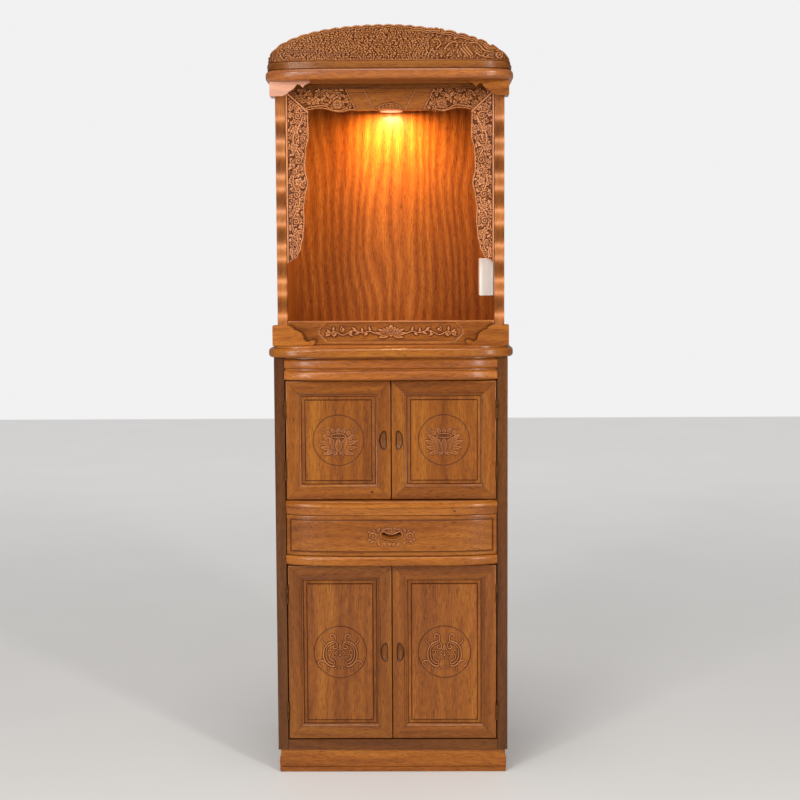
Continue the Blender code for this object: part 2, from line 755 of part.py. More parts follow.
def build_doors():
    """Two doors below with facing scrolls, two above with a lotus."""
    doors = (
        ("door_lower", LOWER_DOOR_FOOT, LOWER_DOOR_HEIGHT, "scrolls", LOWER_MEDALLION_RADIUS),
        ("door_upper", UPPER_DOOR_FOOT, UPPER_DOOR_HEIGHT, "lotus", UPPER_MEDALLION_RADIUS),
    )
    for name, foot, height, kind, radius in doors:
        for side, word in ((-1, "left"), (1, "right")):
            build_door(name + "_" + word, side, foot, height, kind, radius)


def build_drawer():
    """Bowed front with a raised field and a carved bean-shaped pull, and an open tray behind."""
    slide = bpy.data.objects.new("drawer_slide", None)
    slide.location = (0.0, STILE_Y, DRAWER_FOOT)
    CABINET.objects.link(slide)

    half = OPENING - DRAWER_CLEARANCE
    back = STILE_Y + DOOR_THICKNESS
    middle = (DRAWER_FOOT + DRAWER_TOP) / 2
    ends_y = STILE_Y - FRAME_EDGE / 2 + DRAWER_BORDER_DEPTH
    rings = [bowed_ring(z, half, ends_y, BOW, back) for z in (DRAWER_FOOT, DRAWER_TOP)]
    front = add_piece("drawer_front", loft(rings), CARVED_ROSEWOOD)
    field_half = half - DRAWER_BORDER
    field_ends = ends_y - bowed_front(field_half, half, BOW)
    field_bow = BOW - bowed_front(field_half, half, BOW)
    field_levels = (
        (DRAWER_FOOT + DRAWER_BORDER, 0.0),
        (DRAWER_FOOT + DRAWER_BORDER + 0.0015, -DRAWER_BORDER_DEPTH),
        (DRAWER_TOP - DRAWER_BORDER - 0.0015, -DRAWER_BORDER_DEPTH),
        (DRAWER_TOP - DRAWER_BORDER, 0.0),
    )
    field_rings = []
    for z, forward in field_levels:
        ring = bowed_ring(z, field_half, field_ends + forward, field_bow, STILE_Y + 0.005)
        field_rings.append(ring)
    apply_boolean(front, add_cutter("drawer_field", loft(field_rings)), "UNION")

    face_y = ends_y - BOW - DRAWER_BORDER_DEPTH
    bm = bmesh.new()
    half_surround = DRAWER_SURROUND_WIDTH / 2
    for side in (-1, 1):
        x = side * half_surround * 0.68
        curl = spiral(x, face_y, middle, half_surround * 0.26, 90 - side * 90, side * 0.95, 8)
        stem(bm, curl, STEM_RADIUS)
        for height in (-1, 1):
            z = middle + height * DRAWER_SURROUND_HEIGHT * 0.33
            spindle(bm, side * half_surround * 0.33, face_y, z, 90 - side * height * 62, 0.026, 0.009, RELIEF)
    spindle(bm, 0.0, face_y, middle + DRAWER_SURROUND_HEIGHT * 0.38, 0, 0.020, 0.010, RELIEF)
    spindle(bm, 0.0, face_y, middle - DRAWER_SURROUND_HEIGHT * 0.38, 0, 0.016, 0.009, RELIEF)
    carve(front, bm)
    pull = outline_mesh(
        [ellipse(0.0, middle + DRAWER_PULL_BEND / 2, DRAWER_PULL_WIDTH / 2, DRAWER_PULL_HEIGHT / 2, 16,
                 bend_up=-DRAWER_PULL_BEND)],
        face_y - DRAWER_PULL_DEPTH,
        2 * DRAWER_PULL_DEPTH,
    )
    apply_boolean(front, add_cutter("drawer_pull", pull), "DIFFERENCE")

    tray_front = back + GAP
    tray_foot = DRAWER_FOOT
    tray = box(
        "drawer_tray",
        (-half, tray_front, tray_foot),
        (half, tray_front + DRAWER_TRAY_DEPTH, tray_foot + DRAWER_TRAY_HEIGHT),
        INNER_WOOD,
    )
    wall = DRAWER_TRAY_WALL
    hollow = box_mesh(
        (-half + wall, tray_front + wall, tray_foot + DRAWER_TRAY_FLOOR),
        (half - wall, tray_front + DRAWER_TRAY_DEPTH - wall, tray_foot + DRAWER_TRAY_HEIGHT + wall),
    )
    apply_boolean(tray, add_cutter("tray_hollow", hollow), "DIFFERENCE")
    for piece in (front, tray):
        piece.parent = slide
        piece.matrix_parent_inverse = Matrix.Translation(slide.location).inverted()


def build_niche_box():
    """Back, sides and wavy posts of the open niche."""
    half = NICHE_WIDTH / 2
    side_inner = half - POST_WIDTH
    side_outer = side_inner + NICHE_SIDE_THICKNESS
    back_front = BACK_Y - NICHE_BACK_THICKNESS
    box("niche_back", (-side_inner + GAP, back_front, NICHE_FOOT), (side_inner - GAP, BACK_Y, NICHE_TOP), ROSEWOOD)
    for side, word in ((-1, "left"), (1, "right")):
        low_x = min(side * side_inner, side * side_outer)
        high_x = max(side * side_inner, side * side_outer)
        box("niche_side_" + word, (low_x, POST_BACK_Y + GAP, NICHE_FOOT), (high_x, BACK_Y, NICHE_TOP), ROSEWOOD)
        outer = side * half
        inner = side * side_inner
        rings = []
        steps = 30
        for step in range(steps + 1):
            z = NICHE_FOOT + NICHE_HEIGHT * step / steps
            below_plain = NICHE_TOP - POST_PLAIN_LENGTH - z
            wave = 0.0
            if below_plain > 0:
                wave = POST_WAVE * (1 - math.cos(2 * math.pi * below_plain / POST_WAVE_PITCH)) / 2
            front_y = NICHE_Y + wave
            ring = [(min(inner, outer), front_y, z), (max(inner, outer), front_y, z)]
            ring += [(max(inner, outer), POST_BACK_Y, z), (min(inner, outer), POST_BACK_Y, z)]
            rings.append(ring)
        add_piece("post_" + word, loft(rings), CARVED_ROSEWOOD)


def build_guard_board():
    """Low board across the front of the niche, with a lotus and vines in a sunk cartouche."""
    edge = POST_INNER - GAP
    front_y = NICHE_Y + POST_WAVE
    top = NICHE_FOOT + GUARD_HEIGHT
    board = box(
        "guard_board",
        (-edge, front_y, NICHE_FOOT),
        (edge, front_y + GUARD_THICKNESS, top),
        CARVED_ROSEWOOD,
    )
    middle = (NICHE_FOOT + top) / 2
    half = edge * 0.69
    rise = GUARD_HEIGHT * 0.42
    corner = rise * 0.75
    cartouche = [
        (-half, middle + rise - corner),
        (-half, middle - rise + corner),
        (-half + corner, middle - rise),
        (half - corner, middle - rise),
        (half, middle - rise + corner),
        (half, middle + rise - corner),
        (half - corner, middle + rise),
        (-half + corner, middle + rise),
    ]
    sunk = 0.0012
    pocket = outline_mesh([cartouche], front_y - sunk, 2 * sunk)
    apply_boolean(board, add_cutter("cartouche", pocket), "DIFFERENCE")
    bm = bmesh.new()
    face_y = front_y + sunk
    lotus(bm, 0.0, face_y, middle, GUARD_HEIGHT * 0.62, RELIEF)
    for side in (-1, 1):
        curl = spiral(side * half * 0.68, face_y, middle, rise * 0.62, 90 + side * 90, -side * 0.9, 8)
        stem(bm, curl, STEM_RADIUS)
        for reach, lean in ((0.32, 40), (0.46, -30), (0.86, 25)):
            spindle(bm, side * half * reach, face_y, middle, 90 - side * (90 - lean), 0.024, 0.009, RELIEF)
    carve(board, bm)


def valance_foot(x):
    """Height of the valance's lower edge above its lowest lobe at x."""
    reach = abs(x) / (POST_INNER - DROP_WIDTH)
    if reach < 0.18:
        return 0.0045 + 0.0020 * math.cos(math.pi * reach / 0.36)
    if reach < 0.50:
        return 0.0045
    if reach < 0.72:
        return 0.0045 * (1 - math.sin(math.pi * (reach - 0.50) / 0.22))
    return 0.0045 + 0.0050 * math.sin(math.pi * min(1.0, (reach - 0.72) / 0.28))


def build_valance():
    """Header board and the carved valance below it, mitred to the side drops."""
    edge = POST_INNER - GAP
    header_y = NICHE_Y + VALANCE_SETBACK
    header_foot = NICHE_TOP - HEADER_HEIGHT
    box("header_board", (-edge, header_y, header_foot), (edge, header_y + HEADER_THICKNESS, NICHE_TOP), ROSEWOOD)
    top = header_foot - GAP
    foot = top - VALANCE_HEIGHT
    front_y = header_y + VALANCE_SETBACK
    inner = POST_INNER - DROP_WIDTH
    steps = 24
    outline = [(edge - GAP, top), (-edge + GAP, top)]
    for step in range(steps + 1):
        x = -inner + 2 * inner * step / steps
        outline.append((x, foot + valance_foot(x)))
    valance = add_piece("valance", outline_mesh([outline], front_y, VALANCE_THICKNESS), CARVED_ROSEWOOD)
    bm = bmesh.new()
    middle = (top + foot) / 2 + 0.004
    for side in (-1, 1):
        flower(bm, side * inner * 0.80, front_y, middle, 0.017, 5, RELIEF)
        curl = spiral(side * inner * 0.60, front_y, middle - 0.004, 0.015, 90 + side * 70, -side * 0.9, 7)
        stem(bm, curl, STEM_RADIUS)
    carve(valance, bm)
    seams = bmesh.new()
    for side in (-1, 1):
        for high, low in ((0.30, 0.22), (0.51, 0.42)):
            line = box_mesh((-0.0008, -0.001, -0.05), (0.0008, 0.001, 0.05))
            lean = math.atan2((high - low) * inner * side, top - foot)
            centre = (side * inner * (high + low) / 2, front_y, (top + foot) / 2)
            bmesh.ops.transform(line, matrix=Matrix.Translation(centre) @ Matrix.Rotation(lean, 4, "Y"), verts=line.verts)
            cut = bpy.data.meshes.new("pleat_line")
            line.to_mesh(cut)
            line.free()
            seams.from_mesh(cut)
            bpy.data.meshes.remove(cut)
    apply_boolean(valance, add_cutter("pleat_lines", seams), "DIFFERENCE")
    return foot, top, front_y


def drop_width(share):
    """Width of a side drop from its top (0) to its tip (1), eased between the profile's places."""
    for (low, low_width), (high, high_width) in zip(DROP_PROFILE, DROP_PROFILE[1:]):
        if share <= high:
            part = (share - low) / (high - low)
            eased = (1 - math.cos(math.pi * part)) / 2
            return DROP_WIDTH * (low_width + (high_width - low_width) * eased)
    return DROP_WIDTH * DROP_PROFILE[-1][1]


def build_drops(valance_low, valance_top, front_y):
    """The carved side drops, mitred under the valance, tapering down the posts."""
    foot = valance_top - DROP_LENGTH
    shoulder = valance_low + valance_foot(POST_INNER - DROP_WIDTH)
    steps = 26
    for side, word in ((-1, "left"), (1, "right")):
        outer = POST_INNER - GAP
        outline = [(side * outer, foot), (side * outer, valance_top - GAP)]
        for step in range(steps + 1):
            share = step / steps
            z = shoulder - GAP - (shoulder - GAP - foot) * share
            outline.append((side * (POST_INNER - drop_width(share)), z))
        outline[2] = (side * (POST_INNER - DROP_WIDTH - GAP), shoulder - GAP)
        outline[-1] = (side * (outer - 0.002), foot)
        drop = add_piece("drop_" + word, outline_mesh([outline], front_y, VALANCE_THICKNESS), CARVED_ROSEWOOD)
        bm = bmesh.new()
        vine = []
        count = 16
        for step in range(count + 1):
            share = 0.04 + 0.84 * step / count
            width = drop_width(share)
            z = shoulder - (shoulder - foot) * share
            x = POST_INNER - width * (0.50 + 0.22 * math.sin(2 * math.pi * 3.5 * share))
            vine.append((side * x, front_y, z))
        stem(bm, vine, STEM_RADIUS, taper=0.6)
        for step in range(7):
            share = 0.10 + 0.115 * step
            width = drop_width(share)
            z = shoulder - (shoulder - foot) * share
            lean = 1 if step % 2 else -1
            x = POST_INNER - width * (0.50 + 0.24 * lean)
            spindle(bm, side * x, front_y, z, 90 + side * lean * 48, 0.026, 0.011, RELIEF)
        carve(drop, bm)


def arc_between(start, end, bulge, steps=3):
    """Points of a shallow arc from start to end; a positive bulge swells to the right of its way."""
    dx = end[0] - start[0]
    dz = end[1] - start[1]
    points = []
    for step in range(1, steps):
        share = step / steps
        swell = 4 * bulge * share * (1 - share) / math.hypot(dx, dz)
        points.append((start[0] + dx * share - dz * swell, start[1] + dz * share + dx * swell))
    return points


def bracket_outline(side, foot, top, reach, corners, upwards):
    """Front outline of a corner bracket: a flat, two swelling lobes and a tooth near its tip."""
    shares = [(0.0, 0.0), (0.0, 1.0)]
    for across, height, bulge in corners:
        if bulge:
            shares += arc_between(shares[-1], (across, height), bulge)
        shares.append((across, height))
    outline = []
    for across, share in shares:
        z = foot + (top - foot) * share if upwards else top - (top - foot) * share
        outline.append((side * (BRACKET_OUTER - reach * across), z))
    return outline


def build_brackets():
    """L-shaped corner brackets: two stand on the niche's base plate, two hang under the canopy."""
    foot_top = NICHE_FOOT + FOOT_BRACKET_HEIGHT
    eave_foot = NICHE_TOP - EAVE_BRACKET_HEIGHT
    kinds = (
        ("foot_bracket", NICHE_FOOT, foot_top, FOOT_BRACKET_REACH, FOOT_BRACKET_CORNERS, True),
        ("eave_bracket", eave_foot, NICHE_TOP, EAVE_BRACKET_REACH, EAVE_BRACKET_CORNERS, False),
    )
    for name, foot, top, reach, corners, upwards in kinds:
        for side, word in ((-1, "left"), (1, "right")):
            outline = bracket_outline(side, foot, top, reach, corners, upwards)
            wing = outline_mesh([outline], BRACKET_Y, BRACKET_THICKNESS)
            bracket = add_piece(name + "_" + word, wing, ROSEWOOD)
            near = side * (BRACKET_OUTER - BRACKET_THICKNESS)
            far = side * BRACKET_OUTER
            return_wing = box_mesh(
                (min(near, far), BRACKET_Y + BRACKET_THICKNESS / 2, foot),
                (max(near, far), NICHE_Y - GAP, top),
            )
            apply_boolean(bracket, add_cutter(name + "_return_" + word, return_wing), "UNION")


def build_canopy():
    """Canopy board with its rounded nose."""
    slab("canopy_board", rounded_nose(CANOPY_FOOT, CANOPY_TOP, CANOPY_NOSE_RADIUS), ROSEWOOD)


def crown_top(x, half_width):
    """Height of the crown's scalloped arch above its foot at x, fuller on the left than on the right."""
    share = min(1.0, abs(x) / half_width)
    fullness = CROWN_ARCH_LEFT if x < 0 else CROWN_ARCH_RIGHT
    arch = (1 - share ** fullness) ** (1 / fullness)
    lobes = CROWN_LOBE_HEIGHT * abs(math.cos(math.pi * CROWN_LOBES * x / (2 * half_width)))
    rise = CROWN_HEIGHT - CROWN_LOBE_HEIGHT - CROWN_BAND / 2
    return CROWN_BAND / 2 + rise * arch + lobes * min(1.0, arch * 2)


def crown_relief(column, row):
    """Cloud bosses in staggered rows, as a share of the full boss height."""
    shift = 2 if (row // 2) % 2 else 0
    across = math.cos(math.pi * ((column + shift) % 4 - 2) / 2)
    return max(0.0, across) if row % 2 else 0.25


def build_crown():
    """Arched carved board that follows the canopy's bowed front."""
    half_width = TABLE_WIDTH / 2 - CROWN_SETBACK
    columns = 46
    rows = 7
    bm = bmesh.new()
    grid = []
    for column in range(columns + 1):
        share = math.sin(math.pi * (column / columns - 0.5))
        share = 0.35 * share + 0.65 * (2 * column / columns - 1)
        x = half_width * share
        y = slab_front(x, half_width, FRONT_Y + CROWN_SETBACK)
        back_x = (half_width - CROWN_THICKNESS) * share
        back_y = slab_front(back_x, half_width - CROWN_THICKNESS, FRONT_Y + CROWN_SETBACK + CROWN_THICKNESS)
        out = Vector((x - back_x, y - back_y, 0.0)).normalized()
        height = crown_top(x, half_width)
        strip = [bm.verts.new((back_x, back_y, CROWN_FOOT)), bm.verts.new((x, y, CROWN_FOOT))]
        band = min(CROWN_BAND, height * 0.5)
        for row in range(rows + 1):
            z = CROWN_FOOT + band + (height - band) * row / rows
            sunk = CROWN_BOSS * (1 - crown_relief(column, row))
            if row in (0, rows):
                sunk = 0.0
            strip.append(bm.verts.new(Vector((x, y, z)) - out * sunk))
        strip.append(bm.verts.new((back_x, back_y, CROWN_FOOT + height - CROWN_RIM / 3)))
        grid.append(strip)
    count = len(grid[0])
    for left, right in zip(grid, grid[1:]):
        for index in range(count):
            following = (index + 1) % count
            bm.faces.new((left[index], right[index], right[following], left[following]))
    bm.faces.new(grid[0])
    bm.faces.new(list(reversed(grid[-1])))
    add_piece("crown_board", bm, CARVED_ROSEWOOD)


def cylinder_mesh(x, y, low_z, high_z, radius, sides):
    """An upright round body."""
    bm = bmesh.new()
    bmesh.ops.create_cone(
        bm,
        cap_ends=True,
        segments=sides,
        radius1=radius,
        radius2=radius,
        depth=high_z - low_z,
        matrix=Matrix.Translation((x, y, (low_z + high_z) / 2)),
    )
    return bm


def build_lamp():
    """Round lamp on the niche ceiling: a housing with a recess and the lens in it."""
    y = BACK_Y - NICHE_BACK_THICKNESS - LAMP_FROM_BACK
    foot = NICHE_TOP - LAMP_HEIGHT
    housing = add_piece("lamp_housing", cylinder_mesh(0.0, y, foot, NICHE_TOP, LAMP_RADIUS, 16), LAMP_WHITE)
    recess_top = foot + LAMP_LENS_THICKNESS + GAP
    recess = cylinder_mesh(0.0, y, foot - LAMP_LENS_THICKNESS, recess_top, LAMP_LENS_RADIUS + GAP, 16)
    apply_boolean(housing, add_cutter("lamp_recess", recess), "DIFFERENCE")
    lens = cylinder_mesh(0.0, y, foot, foot + LAMP_LENS_THICKNESS, LAMP_LENS_RADIUS, 16)
    add_piece("lamp_lens", lens, LAMP_GLOW)


def build_switch_box():
    """White box for the lamp on the right inner wall of the niche."""
    wall_x = POST_INNER
    low_y = POST_BACK_Y + SWITCH_BOX_DEPTH / 2
    low_z = NICHE_FOOT + SWITCH_BOX_ABOVE_BASE
    body = box(
        "switch_box",
        (wall_x - GAP - SWITCH_BOX_WIDTH, low_y, low_z),
        (wall_x - GAP, low_y + SWITCH_BOX_DEPTH, low_z + SWITCH_BOX_HEIGHT),
        SWITCH_PLASTIC,
    )
    rounding = body.modifiers.new("rounded_edges", "BEVEL")
    rounding.width = 0.0025
    rounding.segments = 1


build_plinth()
build_sides()
build_carcass()
build_rails()
build_table()
build_doors()
build_drawer()
build_niche_box()
build_guard_board()
VALANCE_LOW, VALANCE_HIGH, VALANCE_Y = build_valance()
build_drops(VALANCE_LOW, VALANCE_HIGH, VALANCE_Y)
build_brackets()
build_canopy()
build_crown()
build_lamp()
build_switch_box()
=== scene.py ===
# %% [markdown]
# This lesson dresses a household altar cabinet: a tall hardwood cabinet with two cupboards, a drawer
# and an open niche with a lamp, under an arched carved crown. The plain model of the cabinet is already
# made, so the lesson begins by loading it as a frame. Every new piece then sits exactly where the frame
# has its plain piece, and moves with the same door or drawer.

# %% Load the frame
import json
import math

import bpy
import numpy as np
from mathutils import Matrix, Vector


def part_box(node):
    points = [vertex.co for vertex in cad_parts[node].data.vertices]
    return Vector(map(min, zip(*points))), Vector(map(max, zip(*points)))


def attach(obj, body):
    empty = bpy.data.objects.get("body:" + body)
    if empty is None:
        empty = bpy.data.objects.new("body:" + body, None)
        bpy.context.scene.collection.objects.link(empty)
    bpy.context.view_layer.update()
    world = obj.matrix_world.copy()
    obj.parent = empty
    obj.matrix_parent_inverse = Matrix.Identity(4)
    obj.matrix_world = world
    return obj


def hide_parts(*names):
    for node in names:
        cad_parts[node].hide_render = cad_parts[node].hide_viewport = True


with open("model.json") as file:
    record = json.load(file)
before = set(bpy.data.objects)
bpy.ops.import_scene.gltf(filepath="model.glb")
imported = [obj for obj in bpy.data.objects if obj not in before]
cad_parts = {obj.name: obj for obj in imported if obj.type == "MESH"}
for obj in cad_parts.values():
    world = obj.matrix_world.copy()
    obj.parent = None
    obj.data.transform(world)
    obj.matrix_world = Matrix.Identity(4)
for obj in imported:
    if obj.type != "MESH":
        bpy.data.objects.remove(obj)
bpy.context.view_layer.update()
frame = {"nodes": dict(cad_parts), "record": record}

body_of = {}
for body, members in frame["record"]["behaviour"]["bodies"].items():
    for member in members:
        body_of[member] = body

# %% [markdown]
# The camera comes first. The real cabinet was seen from the front, a little above its middle, from
# about four metres away. A long lens from that distance keeps the sides of the cabinet nearly parallel.
# The camera leans down by five degrees and turns a hair to the left, and the picture is tilted a little.

# %% Camera
PICTURE = 800
FOCAL_PIXELS = 1504.0
CAMERA_PLACE = (0.065, -3.947, 1.29)
CAMERA_TURN, CAMERA_LEAN, CAMERA_ROLL = 0.64, 85.0, -0.3

bpy.ops.object.camera_add(location=CAMERA_PLACE)
camera = bpy.context.active_object
camera.name = "front_view"
camera.data.sensor_width = 36.0
camera.data.lens = FOCAL_PIXELS / PICTURE * camera.data.sensor_width
turn = Matrix.Rotation(math.radians(CAMERA_TURN), 3, "Z")
lean = Matrix.Rotation(math.radians(CAMERA_LEAN), 3, "X")
roll = Matrix.Rotation(math.radians(CAMERA_ROLL), 3, "Z")
camera.rotation_euler = (turn @ lean @ roll).to_euler()
bpy.context.scene.camera = camera
print("lens in millimetres:", round(camera.data.lens, 2))

# %% [markdown]
# Shader maths is easier to read as sums than as a web of boxes. A small class wraps one socket and
# answers to plus, minus, times and the other signs, each of which adds one Math node. A second class
# holds a finish: its material, and one method that adds any other node with its settings and inputs.

# %% Words for shader maths
class Flow:
    """One socket of a finish, with Python's signs for its maths."""

    def __init__(self, finish, socket):
        self.finish = finish
        self.socket = socket

    def maths(self, operation, *others, first=False):
        values = [*others, self] if first else [self, *others]
        return self.finish.add("ShaderNodeMath", {"operation": operation}, dict(enumerate(values)))

    def __add__(self, other):
        return self.maths("ADD", other)

    def __sub__(self, other):
        return self.maths("SUBTRACT", other)

    def __rsub__(self, other):
        return self.maths("SUBTRACT", other, first=True)

    def __mul__(self, other):
        return self.maths("MULTIPLY", other)

    def __abs__(self):
        return self.maths("ABSOLUTE")

    def __lt__(self, other):
        return self.maths("LESS_THAN", other)

    def __gt__(self, other):
        return self.maths("GREATER_THAN", other)

    __radd__ = __add__
    __rmul__ = __mul__

    def least(self, other):
        return self.maths("MINIMUM", other)

    def rise(self, low, high):
        """0 below low, 1 above high, and a smooth step between them; low may be the larger."""
        settings = {"interpolation_type": "SMOOTHSTEP"}
        inputs = {0: self, 1: low, 2: high, 3: 0.0, 4: 1.0}
        return self.finish.add("ShaderNodeMapRange", settings, inputs)


class Finish:
    """A finish: one material, the record's slot that it belongs to, and its nodes."""

    def __init__(self, name, slot):
        self.material = bpy.data.materials.new(name)
        self.material.use_nodes = True
        self.tree = self.material.node_tree
        self.shader = self.tree.nodes["Principled BSDF"]
        self.slot = slot

    def feed(self, socket, value):
        if isinstance(value, Flow):
            self.tree.links.new(value.socket, socket)
        else:
            socket.default_value = value

    def add(self, kind, settings=None, inputs=None, output=0):
        node = self.tree.nodes.new(kind)
        for word, value in (settings or {}).items():
            if word == "stops":
                ramp = node.color_ramp.elements
                while len(ramp) < len(value):
                    ramp.new(1.0)
                for stop, (place, tint) in zip(ramp, value):
                    stop.position = place
                    stop.color = tint
            else:
                setattr(node, word, value)
        for key, value in (inputs or {}).items():
            self.feed(node.inputs[key], value)
        return Flow(self, node.outputs[output])

    def place(self):
        """The three object coordinates, each as a number."""
        point = self.add("ShaderNodeTexCoord", output="Object")
        return [self.add("ShaderNodeSeparateXYZ", inputs={0: point}, output=i) for i in range(3)]

    def own(self, word):
        """A number that the piece's mesh carries."""
        return self.add("ShaderNodeAttribute", {"attribute_name": word}, output="Fac")

    def join(self, a, b, c):
        return self.add("ShaderNodeCombineXYZ", inputs={0: a, 1: b, 2: c})

    def noise(self, point, detail=2.0, roughness=0.5):
        inputs = {"Vector": point, "Scale": 1.0, "Detail": detail, "Roughness": roughness}
        return self.add("ShaderNodeTexNoise", inputs=inputs)

    def tint(self, share, first, second):
        inputs = {0: share, 6: first, 7: second}
        return self.add("ShaderNodeMix", {"data_type": "RGBA"}, inputs, output=2)

    def shade(self, tint, strength):
        """A colour made darker or lighter."""
        return self.add("ShaderNodeVectorMath", {"operation": "SCALE"}, {0: tint, "Scale": strength})

    def bump(self, height, distance, strength):
        inputs = {"Height": height, "Distance": distance, "Strength": strength}
        return self.add("ShaderNodeBump", inputs=inputs)

    def surface(self, **values):
        """Sets the shader's sockets; an underscore stands for a space."""
        for word, value in values.items():
            self.feed(self.shader.inputs[word.replace("_", " ")], value)
        return self


def paint(red, green, blue):
    """A colour as painters mix it, 0 to 255, turned into the light that a shader counts in."""
    light = [((part / 255 + 0.055) / 1.055) ** 2.4 for part in (red, green, blue)]
    return (*light, 1.0)

# %% [markdown]
# The wood is a golden-brown hardwood under a satin varnish. Its figure has four parts: broad streaks,
# rings that wander along the board, fine fibres, and short dark pores. Each is a noise stretched along
# the grain, so it runs up the stiles and along the rails. Door frames are mitred, so their finish works
# out from the place on the frame which of the four members a point belongs to, and darkens the joint.
# Each board carries two numbers of its own: one moves the pattern, so that no two boards are alike, and
# one makes the board darker or lighter, as in real timber; on some pieces it is also set to paint light
# or shade, and a board set much lighter turns paler too, as a painted highlight. Carved wood carries two
# more: a painted shade that lies in the hollows and dulls the varnish there, and a painted highlight on
# the crests.

# %% Rosewood
DOOR_HALVES = []
for door in ("door_lower_left_frame", "door_upper_left_frame"):
    low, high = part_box(door)
    DOOR_HALVES.append(((low.z + high.z) / 2, (high.z - low.z) / 2))
door_low, door_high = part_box("door_lower_right_frame")
KNOTS = ((-0.0488, 0.7268, 0.0055), (0.159, 0.6805, 0.0050))

WOOD_STOPS = [
    (0.00, paint(80, 36, 6)),
    (0.30, paint(116, 60, 12)),
    (0.58, paint(146, 81, 20)),
    (0.82, paint(167, 102, 31)),
    (1.00, paint(186, 127, 50)),
]
NICHE_STOPS = [
    (0.00, paint(92, 40, 9)),
    (0.35, paint(134, 68, 18)),
    (0.65, paint(168, 95, 31)),
    (1.00, paint(200, 132, 56)),
]


def rosewood(name, slot, along, stops=WOOD_STOPS, figure=0.12, varnish=0.44, carved=False, mitred=False):
    wood = Finish(name, slot)
    x, y, z = wood.place()
    board = wood.own("board")
    if mitred:
        across = (abs(x) - door_low.x).least(door_high.x - abs(x))
        upper = z > (door_high.z + 0.02)
        (low_z, low_half), (high_z, high_half) = DOOR_HALVES
        up = (low_half - abs(z - low_z)) * (1 - upper) + (high_half - abs(z - high_z)) * upper
        level = up < across
        grain = x * level + z * (1 - level)
        side = z * level + x * (1 - level)
        joint = abs(across - up).rise(0.0007, 0.0002)
        board = board + level * 0.37
    else:
        grain, side = (z, x) if along == "z" else (x, z)
    shift = board * 7.3
    broad = wood.noise(wood.join(grain * 1.1 + shift, side * 18 + shift, y * 18), 2.0)
    drift = wood.noise(wood.join(grain * 2.4 + shift, side * 7, y * 7 + shift), 1.0)
    fibre = wood.noise(wood.join(grain * 40, side * 480 + shift, y * 480), 3.0, 0.65)
    pore = wood.noise(wood.join(grain * 62, side * 560, y * 560 + shift), 2.0).rise(0.58, 0.70)
    rings = (side * 235 + y * 90 + drift * 26).maths("SINE") * 0.5 + 0.5
    blend = broad.rise(0.28, 0.72) * (0.42 - figure) + fibre.rise(0.2, 0.8) * 0.40
    blend = blend + rings * figure + 0.12
    tint = wood.add("ShaderNodeValToRGB", {"stops": stops}, {0: blend})
    tint = wood.tint(pore * 0.60, tint, paint(44, 17, 4))
    for knot_x, knot_z, size in KNOTS:
        off = (x - knot_x) * (x - knot_x) + (z - knot_z) * (z - knot_z) * 1.6
        ring = off.maths("SQRT")
        knot = ring.rise(size, size * 0.35) * (y < -0.17)
        tint = wood.tint(knot * 0.85, tint, paint(48, 22, 8))
    tone = wood.own("tone")
    # Boards set much lighter also turn pale and pink: a painted highlight where tone is raised for glare.
    tint = wood.shade(wood.tint(tone.rise(0.2, 0.9) * 0.60, tint, paint(206, 168, 152)), tone + 1.0)
    rough = 0.34 + fibre * 0.12 + pore * 0.15
    gloss = varnish - pore * varnish * 0.45
    if mitred:
        tint = wood.tint(joint * 0.8, tint, paint(40, 18, 6))
    if carved:
        hollow = wood.own("hollow")
        crest = wood.own("crest")
        # Painted shade in the hollows, which also dulls the varnish there, and a painted highlight on the
        # crests.
        tint = wood.tint(hollow * 0.88, tint, paint(66, 29, 10))
        tint = wood.shade(wood.tint(crest * 0.26, tint, paint(216, 160, 122)), crest * 0.50 + 1.0)
        rough = rough + hollow * 0.45
        gloss = (1 - hollow) * gloss
    normal = wood.bump(fibre * 0.5 - pore * 0.6, 0.0004, 0.35)
    return wood.surface(Base_Color=tint, Roughness=rough, Normal=normal, Coat_Weight=gloss,
                        Coat_Roughness=0.20, Specular_IOR_Level=0.12)


upright = rosewood("rosewood_upright", "rosewood", "z")
level = rosewood("rosewood_level", "rosewood", "x")
framed = rosewood("rosewood_mitred", "rosewood", "z", mitred=True)
ribboned = rosewood("rosewood_ribboned", "rosewood", "z", stops=NICHE_STOPS, figure=0.24, varnish=0.12)
carved_upright = rosewood("carved_upright", "carved_rosewood", "z", carved=True)
carved_level = rosewood("carved_level", "carved_rosewood", "x", carved=True)
print("wood finishes:", len(bpy.data.materials))

# %% [markdown]
# The other finishes are few: a plain pale wood inside the cupboards and drawer, brass that has gone dull
# on the hinges, and the white plastics of the lamp and of the box on the niche's wall. The lens glows.

# %% Other finishes
def plain_wood(name, slot, along):
    wood = Finish(name, slot)
    x, y, z = wood.place()
    shift = wood.own("board") * 5.1
    grain, side = (z, y) if along == "z" else (y, z)
    broad = wood.noise(wood.join(x * 22 + shift, grain * 1.6, side * 22), 2.0)
    fibre = wood.noise(wood.join(x * 260, grain * 9 + shift, side * 260), 3.0, 0.6)
    blend = broad.rise(0.3, 0.7) * 0.6 + fibre * 0.4
    stops = [(0.0, paint(150, 98, 52)), (0.6, paint(184, 131, 78)), (1.0, paint(206, 160, 108))]
    tint = wood.add("ShaderNodeValToRGB", {"stops": stops}, {0: blend})
    tint = wood.shade(tint, wood.own("tone") + 1.0)
    normal = wood.bump(fibre, 0.0003, 0.3)
    return wood.surface(Base_Color=tint, Roughness=0.5 + fibre * 0.15, Normal=normal)


